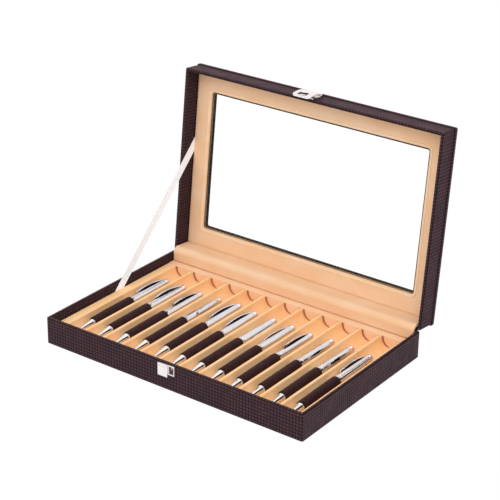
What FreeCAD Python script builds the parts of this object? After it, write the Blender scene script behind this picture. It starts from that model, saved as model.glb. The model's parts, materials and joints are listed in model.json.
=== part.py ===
"""Pen collector chest: a twelve-slot pen box with a glazed, hinged lid.

Row frame: origin at the centre of the underside, +X along the length, +Y to the back, +Z up.
The lid is modelled closed in its own frame, whose X axis is the hinge line, and is then opened.
"""
import FreeCAD, Part
import math
import os

from FreeCAD import Placement, Rotation, Vector

doc = FreeCAD.newDocument("PenChest")

# ---------------------------------------------------------------- driving dimensions

DIMENSIONS = {
    # overall box
    "box_width": 340.0,
    "box_depth": 222.0,
    "base_height": 31.5,
    "lid_height": 28.0,
    "lid_open_angle": 96.07,
    "closing_gap": 0.25,
    # boards and covering
    "wall_thickness": 3.6,
    "covering_thickness": 0.8,
    "covering_lift": 0.3,
    "edge_rounding": 1.2,
    "inner_edge_rounding": 0.5,
    "corner_rounding": 2.0,
    "felt_thickness": 0.8,
    "felt_inset": 3.0,
    "bottom_board_thickness": 2.5,
    # tray
    "slot_count": 12,
    "side_strip_width": 9.3,
    "ridge_width": 3.65,
    "trough_skin": 0.6,
    "tray_floor_thickness": 3.8,
    "ridge_height": 14.1,
    "ridge_rounding": 1.5,
    "divider_gap": 0.1,
    "tray_side_gap": 0.8,
    "tray_end_gap": 0.3,
    "rear_rail_width": 11.1,
    # lid panel, window and glass
    "plate_overhang": 1.0,
    "plate_rounding": 1.0,
    "frame_board_thickness": 3.0,
    "panel_recess": 20.5,
    "panel_gap": 0.8,
    "window_side_margin": 25.0,
    "window_rear_margin": 29.0,
    "window_front_margin": 27.0,
    "window_lip": 2.0,
    "window_corner": 3.0,
    "window_bevel": 1.2,
    "glass_thickness": 1.7,
    "glass_margin": 5.0,
    # hinge lining, hinge strip and ribbon
    "lining_thickness": 3.4,
    "lining_side_gap": 1.5,
    "lining_play": 0.05,
    "strip_thickness": 0.6,
    "strip_leg": 12.0,
    "ribbon_width": 11.0,
    "ribbon_thickness": 0.4,
    "ribbon_lid_reach": 125.0,
    "ribbon_base_reach": 102.4,
    "ribbon_tuck": 1.5,
    # pens
    "pen_clearance": 0.3,
    "pen_front_gap": 13.4,
    "pen_tip_length": 22.0,
    "pen_point_radius": 0.6,
    "pen_point_length": 3.0,
    "pen_tip_front_radius": 1.4,
    "pen_tip_radius": 4.6,
    "pen_barrel_length": 64.0,
    "pen_barrel_front_radius": 6.0,
    "pen_barrel_radius": 6.5,
    "pen_barrel_rounding": 1.4,
    "pen_cap_length": 66.0,
    "pen_cap_radius": 5.4,
    "pen_cap_end_radius": 4.3,
    "pen_cap_rounding": 1.8,
    "clip_length": 44.0,
    "clip_width": 3.0,
    "clip_thickness": 1.0,
    "clip_rise": 3.1,
    "clip_end_gap": 0.4,
    "clip_root_length": 4.0,
    "clip_root_depth": 1.0,
    "clip_inset": 6.0,
    # clasp
    "clasp_centre": -1.5,
    "catch_plate_width": 21.0,
    "catch_plate_height": 11.4,
    "catch_plate_thickness": 0.8,
    "catch_top_drop": 1.4,
    "housing_centre": -5.6,
    "housing_width": 12.8,
    "housing_height": 14.4,
    "housing_depth": 1.8,
    "housing_rounding": 0.6,
    "housing_slot_width": 9.6,
    "housing_slot_height": 2.6,
    "housing_slot_depth": 1.0,
    "housing_slot_drop": 1.1,
    "rivet_radius": 1.1,
    "rivet_head": 0.5,
    "rivet_inset": 3.6,
    "rivet_spacing": 5.0,
    "leaf_width": 15.0,
    "leaf_length": 16.85,
    "leaf_rim_gap": 1.0,
    "leaf_thickness": 0.8,
    "knuckle_radius": 1.65,
    "knuckle_lift": 0.1,
    "knuckle_gap": 0.2,
    "knuckle_share": 0.46,
    "pin_radius": 0.6,
    "pin_fit": 0.03,
    "hasp_width": 24.0,
    "hasp_overhang": 14.0,
    "hasp_thickness": 0.8,
    "hasp_bow_height": 7.0,
    "hasp_end_height": 4.3,
    "hasp_corner": 4.5,
    "arch_radius": 6.0,
    "arch_bar": 3.2,
    "arch_top_drop": 0.8,
    "tongue_centre": -2.4,
    "tongue_radius": 4.2,
    "tongue_tip_height": 3.6,
    "nib_width": 3.0,
    "nib_height": 2.8,
    "nib_length": 1.2,
    "nib_offset": -0.5,
    "notch_depth": 2.3,
}

# How far each pen lies from the common place along its slot, and how far its clip is turned about
# the pen's axis from straight up, anticlockwise seen from the tip end.
PEN_SHIFTS = [4.0, 3.5, 1.0, 2.5, 5.5, 0.5, 0.0, -1.0, -4.0, -1.5, -2.0, -6.0]
PEN_CLIP_TURNS = [48.0, 44.0, 30.0, -42.0, 52.0, 56.0, -84.0, 82.0, 24.0, -52.0, -46.0, 68.0]

sheet = doc.addObject("Spreadsheet::Sheet", "Dimensions")
for row, (alias, value) in enumerate(DIMENSIONS.items(), start=1):
    sheet.set(f"A{row}", alias)
    sheet.set(f"B{row}", str(value))
    sheet.setAlias(f"B{row}", alias)
doc.recompute()


def size(alias):
    """The value of one cell of the sheet."""
    return float(sheet.get(alias))


def cells(expression):
    """Turn bare alias names in an expression into references to the sheet."""
    words = expression
    for alias in sorted(DIMENSIONS, key=len, reverse=True):
        words = words.replace(alias, f"@{list(DIMENSIONS).index(alias)}@")
    for index, alias in enumerate(DIMENSIONS):
        words = words.replace(f"@{index}@", f"Dimensions.{alias}")
    return words


# ---------------------------------------------------------------- derived places

half_width = size("box_width") / 2
half_depth = size("box_depth") / 2
floor_bottom = size("felt_thickness") + size("bottom_board_thickness")
floor_top = floor_bottom + size("tray_floor_thickness")
tray_top = floor_top + size("ridge_height")
trough_bottom = floor_top + size("trough_skin")
cavity_half_width = half_width - size("wall_thickness")
cavity_half_depth = half_depth - size("wall_thickness")
tray_half_width = cavity_half_width - size("tray_side_gap")
tray_front = -cavity_half_depth + size("tray_end_gap")
rail_front = cavity_half_depth - size("tray_end_gap") - size("rear_rail_width")
slot_count = int(size("slot_count"))
slot_pitch = 2 * (tray_half_width - size("side_strip_width")) / slot_count
trough_radius = (slot_pitch - size("ridge_width")) / 2

hinge_line = Vector(0, half_depth, size("base_height"))
LID_OPEN = Placement(hinge_line, Rotation(Vector(1, 0, 0), -size("lid_open_angle")))

# ---------------------------------------------------------------- building blocks


def bind(obj, **expressions):
    """Bind properties of an object to expressions over the sheet's cells."""
    for name, expression in expressions.items():
        obj.setExpression(name.replace("__", "."), cells(expression))
    return obj


def box(name, length, width, height, x, y, z):
    """A Part::Box whose sizes and corner are expressions over the sheet."""
    block = doc.addObject("Part::Box", name)
    bind(block, Length=length, Width=width, Height=height)
    bind(block, Placement__Base__x=x, Placement__Base__y=y, Placement__Base__z=z)
    return block


def cylinder(name, radius, height, x, y, z, axis=Vector(0, 0, 1)):
    """A Part::Cylinder along the given axis from the given place."""
    rod = doc.addObject("Part::Cylinder", name)
    bind(rod, Radius=radius, Height=height)
    rod.Placement.Rotation = Rotation(Vector(0, 0, 1), axis)
    bind(rod, Placement__Base__x=x, Placement__Base__y=y, Placement__Base__z=z)
    return rod


def cut(name, base, tool):
    """Base less tool."""
    result = doc.addObject("Part::Cut", name)
    result.Base = base
    result.Tool = tool
    return result


def common(name, base, tool):
    """What base and tool have in common."""
    result = doc.addObject("Part::Common", name)
    result.Base = base
    result.Tool = tool
    return result


def fuse(name, *shapes):
    """One object from several: joined where they touch, and separate solids where they don't."""
    result = doc.addObject("Part::MultiFuse", name)
    result.Shapes = list(shapes)
    return result


def group(name, *shapes):
    """Several separate solids as one object."""
    result = doc.addObject("Part::Compound", name)
    result.Links = list(shapes)
    return result


def rounded(name, base, radius, chosen):
    """Fillet those edges of base for which chosen(edge) is true."""
    doc.recompute()
    result = doc.addObject("Part::Fillet", name)
    result.Base = base
    edges = enumerate(base.Shape.Edges, start=1)
    result.Edges = [(number, radius, radius) for number, edge in edges if chosen(edge)]
    return result


def runs_along(edge, axis):
    """True if a straight edge is parallel to the axis."""
    if not isinstance(edge.Curve, Part.Line):
        return False
    return abs(abs(edge.tangentAt(edge.FirstParameter).dot(axis)) - 1) < 1e-6


def lies_at(edge, **places):
    """True if the whole edge lies at the given x, y or z."""
    bounds = edge.BoundBox
    limits = {
        "x": (bounds.XMin, bounds.XMax), "y": (bounds.YMin, bounds.YMax), "z": (bounds.ZMin, bounds.ZMax)
    }
    return all(
        abs(low_or_high - place) < 1e-4 for key, place in places.items() for low_or_high in limits[key]
    )


def within(edge, reach_x, reach_y, middle_y=0):
    """True if the middle of the edge is no further out than the reaches, to a hundredth."""
    centre = edge.CenterOfMass
    return abs(centre.x) < reach_x + 0.01 and abs(centre.y - middle_y) < reach_y + 0.01


def body(name):
    """An empty PartDesign body."""
    return doc.addObject("PartDesign::Body", name)


def sketch(owner, name, plane, curves):
    """A sketch on one of the body's origin planes that holds the curves, end to end."""
    drawing = owner.newObject("Sketcher::SketchObject", name)
    support = [feature for feature in owner.Origin.OriginFeatures if feature.Role == plane][0]
    drawing.AttachmentSupport = [(support, "")]
    drawing.MapMode = "FlatFace"
    drawing.addGeometry(curves, False)
    return drawing


def polygon(points):
    """Straight lines round the points, closed."""
    corners = [Vector(*point, 0) for point in points]
    return [Part.LineSegment(a, b) for a, b in zip(corners, corners[1:] + corners[:1])]


def outline(*legs):
    """Lines and arcs end to end: each leg is (start, end) or (start, middle, end)."""
    curves = []
    for leg in legs:
        points = [Vector(*point, 0) for point in leg]
        curves.append(Part.LineSegment(*points) if len(points) == 2 else Part.Arc(*points))
    return curves


def quarter(start, corner, end):
    """A quarter round from start to end that would meet in the corner."""
    middle = [
        (a + b) / 2 + (c - (a + b) / 2) * (math.sqrt(2) - 1) for a, b, c in zip(start, end, corner)
    ]
    return start, tuple(middle), end


def pad(owner, name, profile, length, both_ways=True):
    """Pad a sketch by an expression over the sheet."""
    feature = owner.newObject("PartDesign::Pad", name)
    feature.Profile = profile
    feature.SideType = "Symmetric" if both_ways else "One side"
    bind(feature, Length=length)
    owner.Tip = feature
    return feature


def revolve(owner, name, profile, axis):
    """Turn a sketch right round one of the body's origin axes."""
    feature = owner.newObject("PartDesign::Revolution", name)
    feature.Profile = profile
    line = [item for item in owner.Origin.OriginFeatures if item.Role == axis][0]
    feature.ReferenceAxis = (line, [""])
    feature.Angle = 360
    owner.Tip = feature
    return feature


NODES = {}


def node(name, obj, placement=None):
    """Name a finished object as a sub-part, and move it to its place if one is given."""
    obj.Label = name
    if placement is not None:
        obj.Placement = placement
    NODES[name] = obj
    return obj


def copies(name, shapes, placement):
    """A sub-part made of placed copies of finished master shapes."""
    item = doc.addObject("Part::Feature", name)
    solids = [solid.copy() for shape in shapes for solid in shape.Solids]
    item.Shape = solids[0] if len(solids) == 1 else Part.makeCompound(solids)
    return node(name, item, placement)


def lid_point(reach, depth):
    """Where a point of the open lid lies, as (y, z): its reach from the hinge line and its depth."""
    place = LID_OPEN.multVec(Vector(0, -reach, depth))
    return place.y, place.z


# ---------------------------------------------------------------- base

BOARD_X = "-(box_width / 2 - covering_thickness)"
BOARD_Y = "-(box_depth / 2 - covering_thickness)"
BOARD_LENGTH = "box_width - 2 * covering_thickness"
BOARD_DEPTH = "box_depth - 2 * covering_thickness"
BOARD_THICKNESS = "wall_thickness - 2 * covering_thickness"
BETWEEN_BOARDS = "box_depth - 2 * (wall_thickness - covering_thickness)"
FLOOR_Z = "felt_thickness + bottom_board_thickness"


def make_base_shell():
    """Felt, bottom board, four wall boards and the leatherette that covers them."""
    felt = box(
        "Felt", "box_width - 2 * felt_inset", "box_depth - 2 * felt_inset", "felt_thickness",
        "-(box_width / 2 - felt_inset)", "-(box_depth / 2 - felt_inset)", "0",
    )
    node("base_felt", felt)
    bottom = box(
        "Bottom", BOARD_LENGTH, BOARD_DEPTH, "bottom_board_thickness", BOARD_X, BOARD_Y, "felt_thickness"
    )
    node("base_bottom_board", bottom)

    height = f"base_height - covering_thickness - ({FLOOR_Z})"
    back_y = f"box_depth / 2 - covering_thickness - ({BOARD_THICKNESS})"
    right_x = f"box_width / 2 - covering_thickness - ({BOARD_THICKNESS})"
    side_y = "-(box_depth / 2 - wall_thickness + covering_thickness)"
    node(
        "base_front_wall", box("FrontWall", BOARD_LENGTH, BOARD_THICKNESS, height, BOARD_X, BOARD_Y, FLOOR_Z)
    )
    node("base_back_wall", box("BackWall", BOARD_LENGTH, BOARD_THICKNESS, height, BOARD_X, back_y, FLOOR_Z))
    left = box("LeftWall", BOARD_THICKNESS, BETWEEN_BOARDS, height, BOARD_X, side_y, FLOOR_Z)
    right = box("RightWall", BOARD_THICKNESS, BETWEEN_BOARDS, height, right_x, side_y, FLOOR_Z)
    node("base_side_walls", group("SideWalls", left, right))

    outer = box(
        "BaseOuter", "box_width", "box_depth", "base_height - covering_lift",
        "-box_width / 2", "-box_depth / 2", "covering_lift",
    )
    upright = rounded(
        "BaseCorners", outer, size("corner_rounding"), lambda edge: runs_along(edge, Vector(0, 0, 1))
    )
    rim = size("base_height")
    skin = rounded("BaseRim", upright, size("edge_rounding"), lambda edge: lies_at(edge, z=rim))
    boards = box(
        "BoardsOuter", BOARD_LENGTH, BOARD_DEPTH, "base_height - covering_thickness", BOARD_X, BOARD_Y, "0"
    )
    inside = box(
        "BoardsInner",
        f"box_width - 2 * (wall_thickness - covering_thickness)",
        BETWEEN_BOARDS, "base_height",
        "-(box_width / 2 - wall_thickness + covering_thickness)", side_y, FLOOR_Z,
    )
    cavity = box(
        "BaseCavity", "box_width - 2 * wall_thickness", "box_depth - 2 * wall_thickness", "base_height",
        "-(box_width / 2 - wall_thickness)", "-(box_depth / 2 - wall_thickness)", FLOOR_Z,
    )
    sleeve = cut("BaseSleeve", cut("BaseSkin", skin, cut("BoardRing", boards, inside)), cavity)
    inner_rim = rounded(
        "BaseCovering", sleeve, size("inner_edge_rounding"),
        lambda edge: lies_at(edge, z=rim) and within(edge, cavity_half_width, cavity_half_depth),
    )
    node("base_covering", inner_rim)


# ---------------------------------------------------------------- tray

# How much of a ridge's half width its rounded shoulder may take.
WIDEST_SHOULDER = 0.9


def trough_side(sign, centre, foot):
    """One flank of a trough from its foot up: a quarter round, a short upright and the ridge's shoulder.

    A ridge lower than the round cuts it off, and the shoulder is never wider than half the ridge.
    """
    radius, top = trough_radius, size("ridge_height")
    level = size("trough_skin") + radius
    rounding = min(size("ridge_rounding"), size("ridge_width") / 2 * WIDEST_SHOULDER)
    arc_top = min(level, top - rounding)

    def on_round(height):
        return centre + sign * math.sqrt(radius**2 - (level - height) ** 2), height

    start = foot, level - math.sqrt(radius**2 - (foot - centre) ** 2)
    end = on_round(arc_top)
    legs = [(start, on_round((start[1] + arc_top) / 2), end)]
    if arc_top < top - rounding:
        legs.append((end, (end[0], top - rounding)))
    shoulder_end = (end[0] + sign * rounding, top)
    return [*legs, quarter((end[0], top - rounding), (end[0], top), shoulder_end)]


def backwards(*legs):
    """The same legs in the opposite order and direction."""
    return [tuple(reversed(leg)) for leg in reversed(legs)]


def divider_master():
    """The ridge between two troughs, standing on the tray floor and centred on X and Y."""
    half_pitch = slot_pitch / 2
    foot = half_pitch - size("divider_gap") / 2
    left, right = trough_side(1, -half_pitch, -foot), trough_side(-1, half_pitch, foot)
    top = (left[-1][-1], right[-1][-1])
    ends = [(right[0][0], (foot, 0)), ((foot, 0), (-foot, 0)), ((-foot, 0), left[0][0])]
    owner = body("DividerMaster")
    profile = sketch(owner, "DividerProfile", "XZ_Plane", outline(*left, top, *backwards(*right), *ends))
    length = "box_depth - 2 * wall_thickness - 2 * tray_end_gap - rear_rail_width"
    pad(owner, "DividerPad", profile, length)
    doc.recompute()
    return owner


def side_strip(sign):
    """The strip between the outermost trough and the box's side wall."""
    centre = sign * (slot_count - 1) * slot_pitch / 2
    foot = centre + sign * size("divider_gap") / 2
    outer = sign * tray_half_width
    flank = trough_side(sign, centre, foot)
    top = size("ridge_height")
    ends = [
        (flank[-1][-1], (outer, top)), ((outer, top), (outer, 0)),
        ((outer, 0), (foot, 0)), ((foot, 0), flank[0][0]),
    ]
    owner = body("SideStrip" + ("Right" if sign > 0 else "Left"))
    profile = sketch(owner, owner.Name + "Profile", "XZ_Plane", outline(*flank, *ends))
    pad(
        owner, owner.Name + "Pad", profile,
        "box_depth - 2 * wall_thickness - 2 * tray_end_gap - rear_rail_width",
    )
    owner.Placement = Placement(Vector(0, (tray_front + rail_front) / 2, floor_top), Rotation())
    return owner


def make_tray():
    """Tray floor, eleven dividers, the two side strips and the rear rail."""
    half_width_text = "box_width / 2 - wall_thickness - tray_side_gap"
    front_text = "-(box_depth / 2 - wall_thickness - tray_end_gap)"
    floor_board = box(
        "TrayFloor", f"2 * ({half_width_text})", f"-2 * ({front_text})", "tray_floor_thickness",
        f"-({half_width_text})", front_text, FLOOR_Z,
    )
    node("tray_floor", floor_board)

    master = divider_master()
    middle = (tray_front + rail_front) / 2
    for index in range(1, slot_count):
        x = (index - slot_count / 2) * slot_pitch
        copies(f"divider_{index:02d}", [master.Shape], Placement(Vector(x, middle, floor_top), Rotation()))
    node("tray_side_strips", group("SideStrips", side_strip(-1), side_strip(1)))

    rail = box(
        "RearRail", f"2 * ({half_width_text})", "rear_rail_width", "ridge_height",
        f"-({half_width_text})", f"-({front_text}) - rear_rail_width", f"{FLOOR_Z} + tray_floor_thickness",
    )
    node(
        "tray_rear_rail",
        rounded("RailEdge", rail, size("ridge_rounding"), lambda edge: lies_at(edge, y=rail_front, z=tray_top)),
    )


# ---------------------------------------------------------------- lid, in its own frame

LID_BOARDS_TOP = "lid_height - covering_thickness - frame_board_thickness"
WINDOW_LENGTH = "box_width - 2 * window_side_margin"
WINDOW_DEPTH = "box_depth - window_front_margin - window_rear_margin"


def window_prism(name, margin, bottom, height):
    """A block as large as the lid's window with a margin all round, with rounded upright edges."""
    block = box(
        name + "Block", f"{WINDOW_LENGTH} + 2 * ({margin})", f"{WINDOW_DEPTH} + 2 * ({margin})", height,
        f"-(box_width / 2 - window_side_margin) - ({margin})",
        f"window_front_margin - box_depth - ({margin})", bottom,
    )
    return rounded(name, block, size("window_corner"), lambda edge: runs_along(edge, Vector(0, 0, 1)))


def make_lid_shell():
    """Wall boards, frame board with the window, and the leatherette that covers them."""
    bottom = "closing_gap + covering_thickness"
    height = f"{LID_BOARDS_TOP} - ({bottom})"
    front_y = "-(box_depth - covering_thickness)"
    back_y = "-(wall_thickness - covering_thickness)"
    side_y = "-(box_depth - wall_thickness + covering_thickness)"
    right_x = "box_width / 2 - wall_thickness + covering_thickness"
    front = box("LidFront", BOARD_LENGTH, BOARD_THICKNESS, height, BOARD_X, front_y, bottom)
    back = box("LidBack", BOARD_LENGTH, BOARD_THICKNESS, height, BOARD_X, back_y, bottom)
    left = box("LidLeft", BOARD_THICKNESS, BETWEEN_BOARDS, height, BOARD_X, side_y, bottom)
    right = box("LidRight", BOARD_THICKNESS, BETWEEN_BOARDS, height, right_x, side_y, bottom)
    node("lid_front_wall", group("LidFrontWall", front), LID_OPEN)
    node("lid_back_wall", group("LidBackWall", back), LID_OPEN)
    node("lid_side_walls", group("LidSideWalls", left, right), LID_OPEN)

    board = box(
        "FrameBlank", f"{BOARD_LENGTH} + 2 * plate_overhang",
        f"{BOARD_DEPTH} + 2 * plate_overhang", "frame_board_thickness",
        f"{BOARD_X} - plate_overhang", f"{front_y} - plate_overhang", LID_BOARDS_TOP,
    )
    opening = window_prism("FrameOpening", "covering_thickness - window_lip", "0", "2 * lid_height")
    frame_board = cut("FrameBoard", board, opening)
    node("lid_frame_board", group("LidFrameBoard", frame_board), LID_OPEN)

    walls = box(
        "LidOuter", "box_width", "box_depth",
        f"{LID_BOARDS_TOP} - closing_gap", "-box_width / 2", "-box_depth",
        "closing_gap",
    )
    walls = rounded(
        "LidCorners", walls, size("corner_rounding"), lambda edge: runs_along(edge, Vector(0, 0, 1))
    )
    walls = rounded("LidRim", walls, size("edge_rounding"), lambda edge: lies_at(edge, z=size("closing_gap")))
    plate = box(
        "LidPlate", "box_width + 2 * plate_overhang", "box_depth + 2 * plate_overhang",
        "frame_board_thickness + 2 * covering_thickness", "-box_width / 2 - plate_overhang",
        "-box_depth - plate_overhang", f"{LID_BOARDS_TOP} - covering_thickness",
    )
    plate = rounded(
        "PlateCorners", plate, size("corner_rounding"), lambda edge: runs_along(edge, Vector(0, 0, 1))
    )
    plate = rounded(
        "PlateEdge", plate, size("plate_rounding"), lambda edge: lies_at(edge, z=size("lid_height"))
    )
    boards = box("LidBoardsOuter", BOARD_LENGTH, BOARD_DEPTH, height, BOARD_X, front_y, bottom)
    inside = box(
        "LidBoardsInner",
        "box_width - 2 * (wall_thickness - covering_thickness)",
        BETWEEN_BOARDS, "2 * lid_height",
        "-(box_width / 2 - wall_thickness + covering_thickness)", side_y, "-lid_height",
    )
    cavity = box(
        "LidCavity", "box_width - 2 * wall_thickness",
        "box_depth - 2 * wall_thickness",
        f"{LID_BOARDS_TOP} + lid_height",
        "-(box_width / 2 - wall_thickness)", "-(box_depth - wall_thickness)", "-lid_height",
    )
    window = window_prism("CoveringOpening", "-window_lip", "0", "2 * lid_height")
    ring = cut("LidBoardRing", boards, inside)
    skin = cut("LidSkin", fuse("LidWhole", walls, plate), fuse("LidHollow", ring, frame_board))
    covering = cut("LidCovering", cut("LidSleeve", skin, cavity), window)
    node("lid_covering", covering, LID_OPEN)


def make_lid_panel():
    """The velvet window panel inside the lid, rebated for the glass, and the glass."""
    thickness = f"{LID_BOARDS_TOP} - panel_recess"
    blank = box(
        "PanelBlank", "box_width - 2 * (wall_thickness + panel_gap)",
        "box_depth - 2 * (wall_thickness + panel_gap)",
        thickness, "-(box_width / 2 - wall_thickness - panel_gap)",
        "-(box_depth - wall_thickness - panel_gap)", "panel_recess",
    )
    opening = window_prism("PanelOpening", "0", "0", "2 * lid_height")
    rebate = window_prism("GlassRebate", "glass_margin", f"{LID_BOARDS_TOP} - glass_thickness", "lid_height")
    panel = cut("Panel", cut("PanelFrame", blank, opening), rebate)
    recess = size("panel_recess")
    rear, front = -size("window_rear_margin"), size("window_front_margin") - size("box_depth")
    reach = half_width - size("window_side_margin"), (rear - front) / 2
    middle = (rear + front) / 2
    rolled = rounded(
        "PanelBevel", panel, size("window_bevel"),
        lambda edge: lies_at(edge, z=recess) and within(edge, *reach, middle),
    )
    node("lid_velvet_panel", rolled, LID_OPEN)
    glass = window_prism(
        "Glass", "glass_margin - tray_end_gap", f"{LID_BOARDS_TOP} - glass_thickness", "glass_thickness"
    )
    node("lid_glass", glass, LID_OPEN)


# ---------------------------------------------------------------- what crosses the hinge


def make_hinge_lining():
    """Soft strip from the lid's back wall, round the hinge line and down to the tray."""
    inner = size("wall_thickness") + size("lining_play")
    outer = inner + size("lining_thickness")
    foot = tray_top + size("tray_end_gap")
    reach = size("panel_recess") - size("tray_end_gap")
    half_turn = (180 - size("lid_open_angle") + 180) / 2

    def around(radius, degrees):
        angle = math.radians(degrees)
        return hinge_line.y + radius * math.cos(angle), hinge_line.z + radius * math.sin(angle)

    def face(radius):
        start, end = around(radius, 180), lid_point(radius, 0)
        return [
            ((start[0], foot), start),
            (start, around(radius, half_turn), end),
            (end, lid_point(radius, reach)),
        ]

    front, back = face(outer), face(inner)
    ends = [(front[-1][-1], back[-1][-1]), (back[0][0], front[0][0])]
    owner = body("HingeLining")
    profile = sketch(owner, "LiningProfile", "YZ_Plane", outline(*front, ends[0], *backwards(*back), ends[1]))
    pad(owner, "LiningPad", profile, "box_width - 2 * (wall_thickness + lining_side_gap)")
    node("hinge_lining", owner)


def make_hinge_strip():
    """Leatherette strip outside, down the base's back and along the lid's back, folded at the hinge."""
    thick, leg = size("strip_thickness"), size("strip_leg")
    angle = math.radians(size("lid_open_angle"))
    inner_corner = lid_point(-thick, thick * (1 - math.cos(angle)) / math.sin(angle))
    points = [
        (hinge_line.y, hinge_line.z - leg), (hinge_line.y + thick, hinge_line.z - leg), inner_corner,
        lid_point(-thick, leg), lid_point(0, leg), (hinge_line.y, hinge_line.z),
    ]
    owner = body("HingeStrip")
    profile = sketch(owner, "StripProfile", "YZ_Plane", polygon(points))
    pad(owner, "StripPad", profile, "box_width - 2 * wall_thickness")
    node("hinge_back_strip", owner)


def make_stay_ribbon():
    """The ribbon that stops the lid: straight, from beside the tray to beside the window panel."""
    top = Vector(0, *lid_point(size("ribbon_lid_reach"), size("panel_recess") - size("ribbon_tuck")))
    base = Vector(0, half_depth - size("ribbon_base_reach"), tray_top + size("ribbon_tuck"))
    along = (top - base).normalize()
    across = Vector(0, -along.z, along.y) * (size("ribbon_width") / 2)
    into_lid = LID_OPEN.Rotation.multVec(Vector(0, 0, 1))
    panel_place = Vector(0, *lid_point(0, size("panel_recess") + size("ribbon_tuck")))

    def at_tray(point):
        return point + along * ((tray_top - size("ribbon_tuck") - point.z) / along.z)

    def at_panel(point):
        return point + along * ((panel_place - point).dot(into_lid) / along.dot(into_lid))

    corners = [at_tray(base - across), at_tray(base + across), at_panel(top + across), at_panel(top - across)]
    owner = body("StayRibbon")
    profile = sketch(
        owner, "RibbonProfile", "YZ_Plane", polygon([(corner.y, corner.z) for corner in corners])
    )
    pad(owner, "RibbonPad", profile, "ribbon_thickness")
    owner.Placement = Placement(Vector(-(cavity_half_width - size("tray_side_gap") / 2), 0, 0), Rotation())
    node("stay_ribbon", owner)


# ---------------------------------------------------------------- clasp


def make_catch():
    """Plate on the base's front face, the slotted housing on it and two rivets."""
    face_y = "-box_depth / 2 - catch_plate_thickness"
    plate_x = "clasp_centre - catch_plate_width / 2"
    plate_z = "base_height - catch_top_drop - catch_plate_height"
    housing_x = "housing_centre - housing_width / 2"
    housing_z = "base_height - catch_top_drop - housing_height"
    sheet_metal = box(
        "CatchSheet", "catch_plate_width", "catch_plate_thickness",
        "catch_plate_height", plate_x, face_y, plate_z,
    )
    tab = box(
        "CatchTab", "housing_width", "catch_plate_thickness", "housing_height", housing_x, face_y, housing_z
    )
    plate = fuse("CatchBlank", sheet_metal, tab)

    rivets = []
    for number, side in enumerate((-1, 1), start=1):
        x = "clasp_centre + catch_plate_width / 2 - rivet_inset"
        z = f"base_height - catch_top_drop - catch_plate_height / 2 + {side} * rivet_spacing / 2"
        forward = Vector(0, -1, 0)
        shank = ("rivet_radius * 0.6", "catch_plate_thickness", x, "-box_depth / 2", z)
        head = cylinder(f"RivetHead{number}", "rivet_radius", "rivet_head", x, face_y, z, forward)
        rivets.append(fuse(f"Rivet{number}", head, cylinder(f"RivetShank{number}", *shank, forward)))
        plate = cut(f"CatchHole{number}", plate, cylinder(f"RivetHole{number}", *shank, forward))
    node("catch_plate", plate)
    node("catch_rivets", group("CatchRivets", *rivets))

    front_y = "-box_depth / 2 - catch_plate_thickness - housing_depth"
    block = box(
        "HousingBlock", "housing_width", "housing_depth", "housing_height", housing_x, front_y, housing_z
    )
    front = -half_depth - size("catch_plate_thickness") - size("housing_depth")
    block = rounded("HousingEdges", block, size("housing_rounding"), lambda edge: lies_at(edge, y=front))
    slot = box(
        "HousingSlot", "housing_slot_width", "housing_slot_depth", "housing_slot_height",
        "housing_centre - housing_slot_width / 2", front_y,
        "base_height - catch_top_drop - housing_slot_drop - housing_slot_height",
    )
    node("catch_housing", cut("Housing", block, slot))


knuckle_reach = size("box_depth") + size("knuckle_lift") + size("knuckle_radius")
knuckle_depth = size("leaf_rim_gap") + size("leaf_length") + size("knuckle_radius")
KNUCKLE_Y = "-(box_depth + knuckle_lift + knuckle_radius)"
KNUCKLE_Z = "leaf_rim_gap + leaf_length + knuckle_radius"
LEAF_KNUCKLE = "leaf_width * knuckle_share"
ALONG_X = Vector(1, 0, 0)


def bored(name, barrel, x, length):
    """A knuckle barrel with the pin's bore through it."""
    return cut(
        name, barrel,
        cylinder(name + "Bore", "pin_radius + pin_fit", length, x, KNUCKLE_Y, KNUCKLE_Z, ALONG_X),
    )


def make_hasp_leaf():
    """Leaf riveted to the lid's front wall, with its middle knuckle and the pin."""
    leaf = box(
        "LeafSheet", "leaf_width", "leaf_thickness", "leaf_length",
        "clasp_centre - leaf_width / 2", "-(box_depth + leaf_thickness)", "leaf_rim_gap",
    )
    neck = box(
        "LeafNeck", LEAF_KNUCKLE, "leaf_thickness - knuckle_lift", "knuckle_radius * 2",
        f"clasp_centre - {LEAF_KNUCKLE} / 2",
        "-(box_depth + leaf_thickness)",
        f"{KNUCKLE_Z} - knuckle_radius * 2",
    )
    x = f"clasp_centre - {LEAF_KNUCKLE} / 2"
    barrel = cylinder("LeafBarrel", "knuckle_radius", LEAF_KNUCKLE, x, KNUCKLE_Y, KNUCKLE_Z, ALONG_X)
    leaf_whole = bored("LeafKnuckle", fuse("LeafFused", leaf, neck, barrel), x, LEAF_KNUCKLE)
    node("hasp_leaf", leaf_whole, LID_OPEN)
    pin = cylinder(
        "HaspPin", "pin_radius", "leaf_width", "clasp_centre - leaf_width / 2", KNUCKLE_Y, KNUCKLE_Z, ALONG_X
    )
    node("hasp_pin", group("HaspPinPlaced", pin), LID_OPEN)


def circle_through(first, second, third):
    """Centre and radius of the circle through three (across, up) points."""
    circle = Part.Circle(*(Vector(*point, 0) for point in (first, second, third)))
    return circle.Center, circle.Radius


ARCH_BOTTOM = "arch_bar - hasp_overhang"
ARCH_LEVEL = "-(arch_top_drop + arch_radius)"


def arch_prism(name, radius):
    """An arched block through the hasp, as wide as twice the radius."""
    length = "hasp_bow_height + hasp_thickness"
    legs = box(
        name + "Legs", f"2 * {radius}", length, f"{ARCH_LEVEL} - ({ARCH_BOTTOM})",
        f"tongue_centre - {radius}", f"-box_depth - ({length})", ARCH_BOTTOM,
    )
    top = cylinder(name + "Top", radius, length, "tongue_centre", "-box_depth", ARCH_LEVEL, Vector(0, -1, 0))
    return fuse(name, legs, top)


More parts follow.
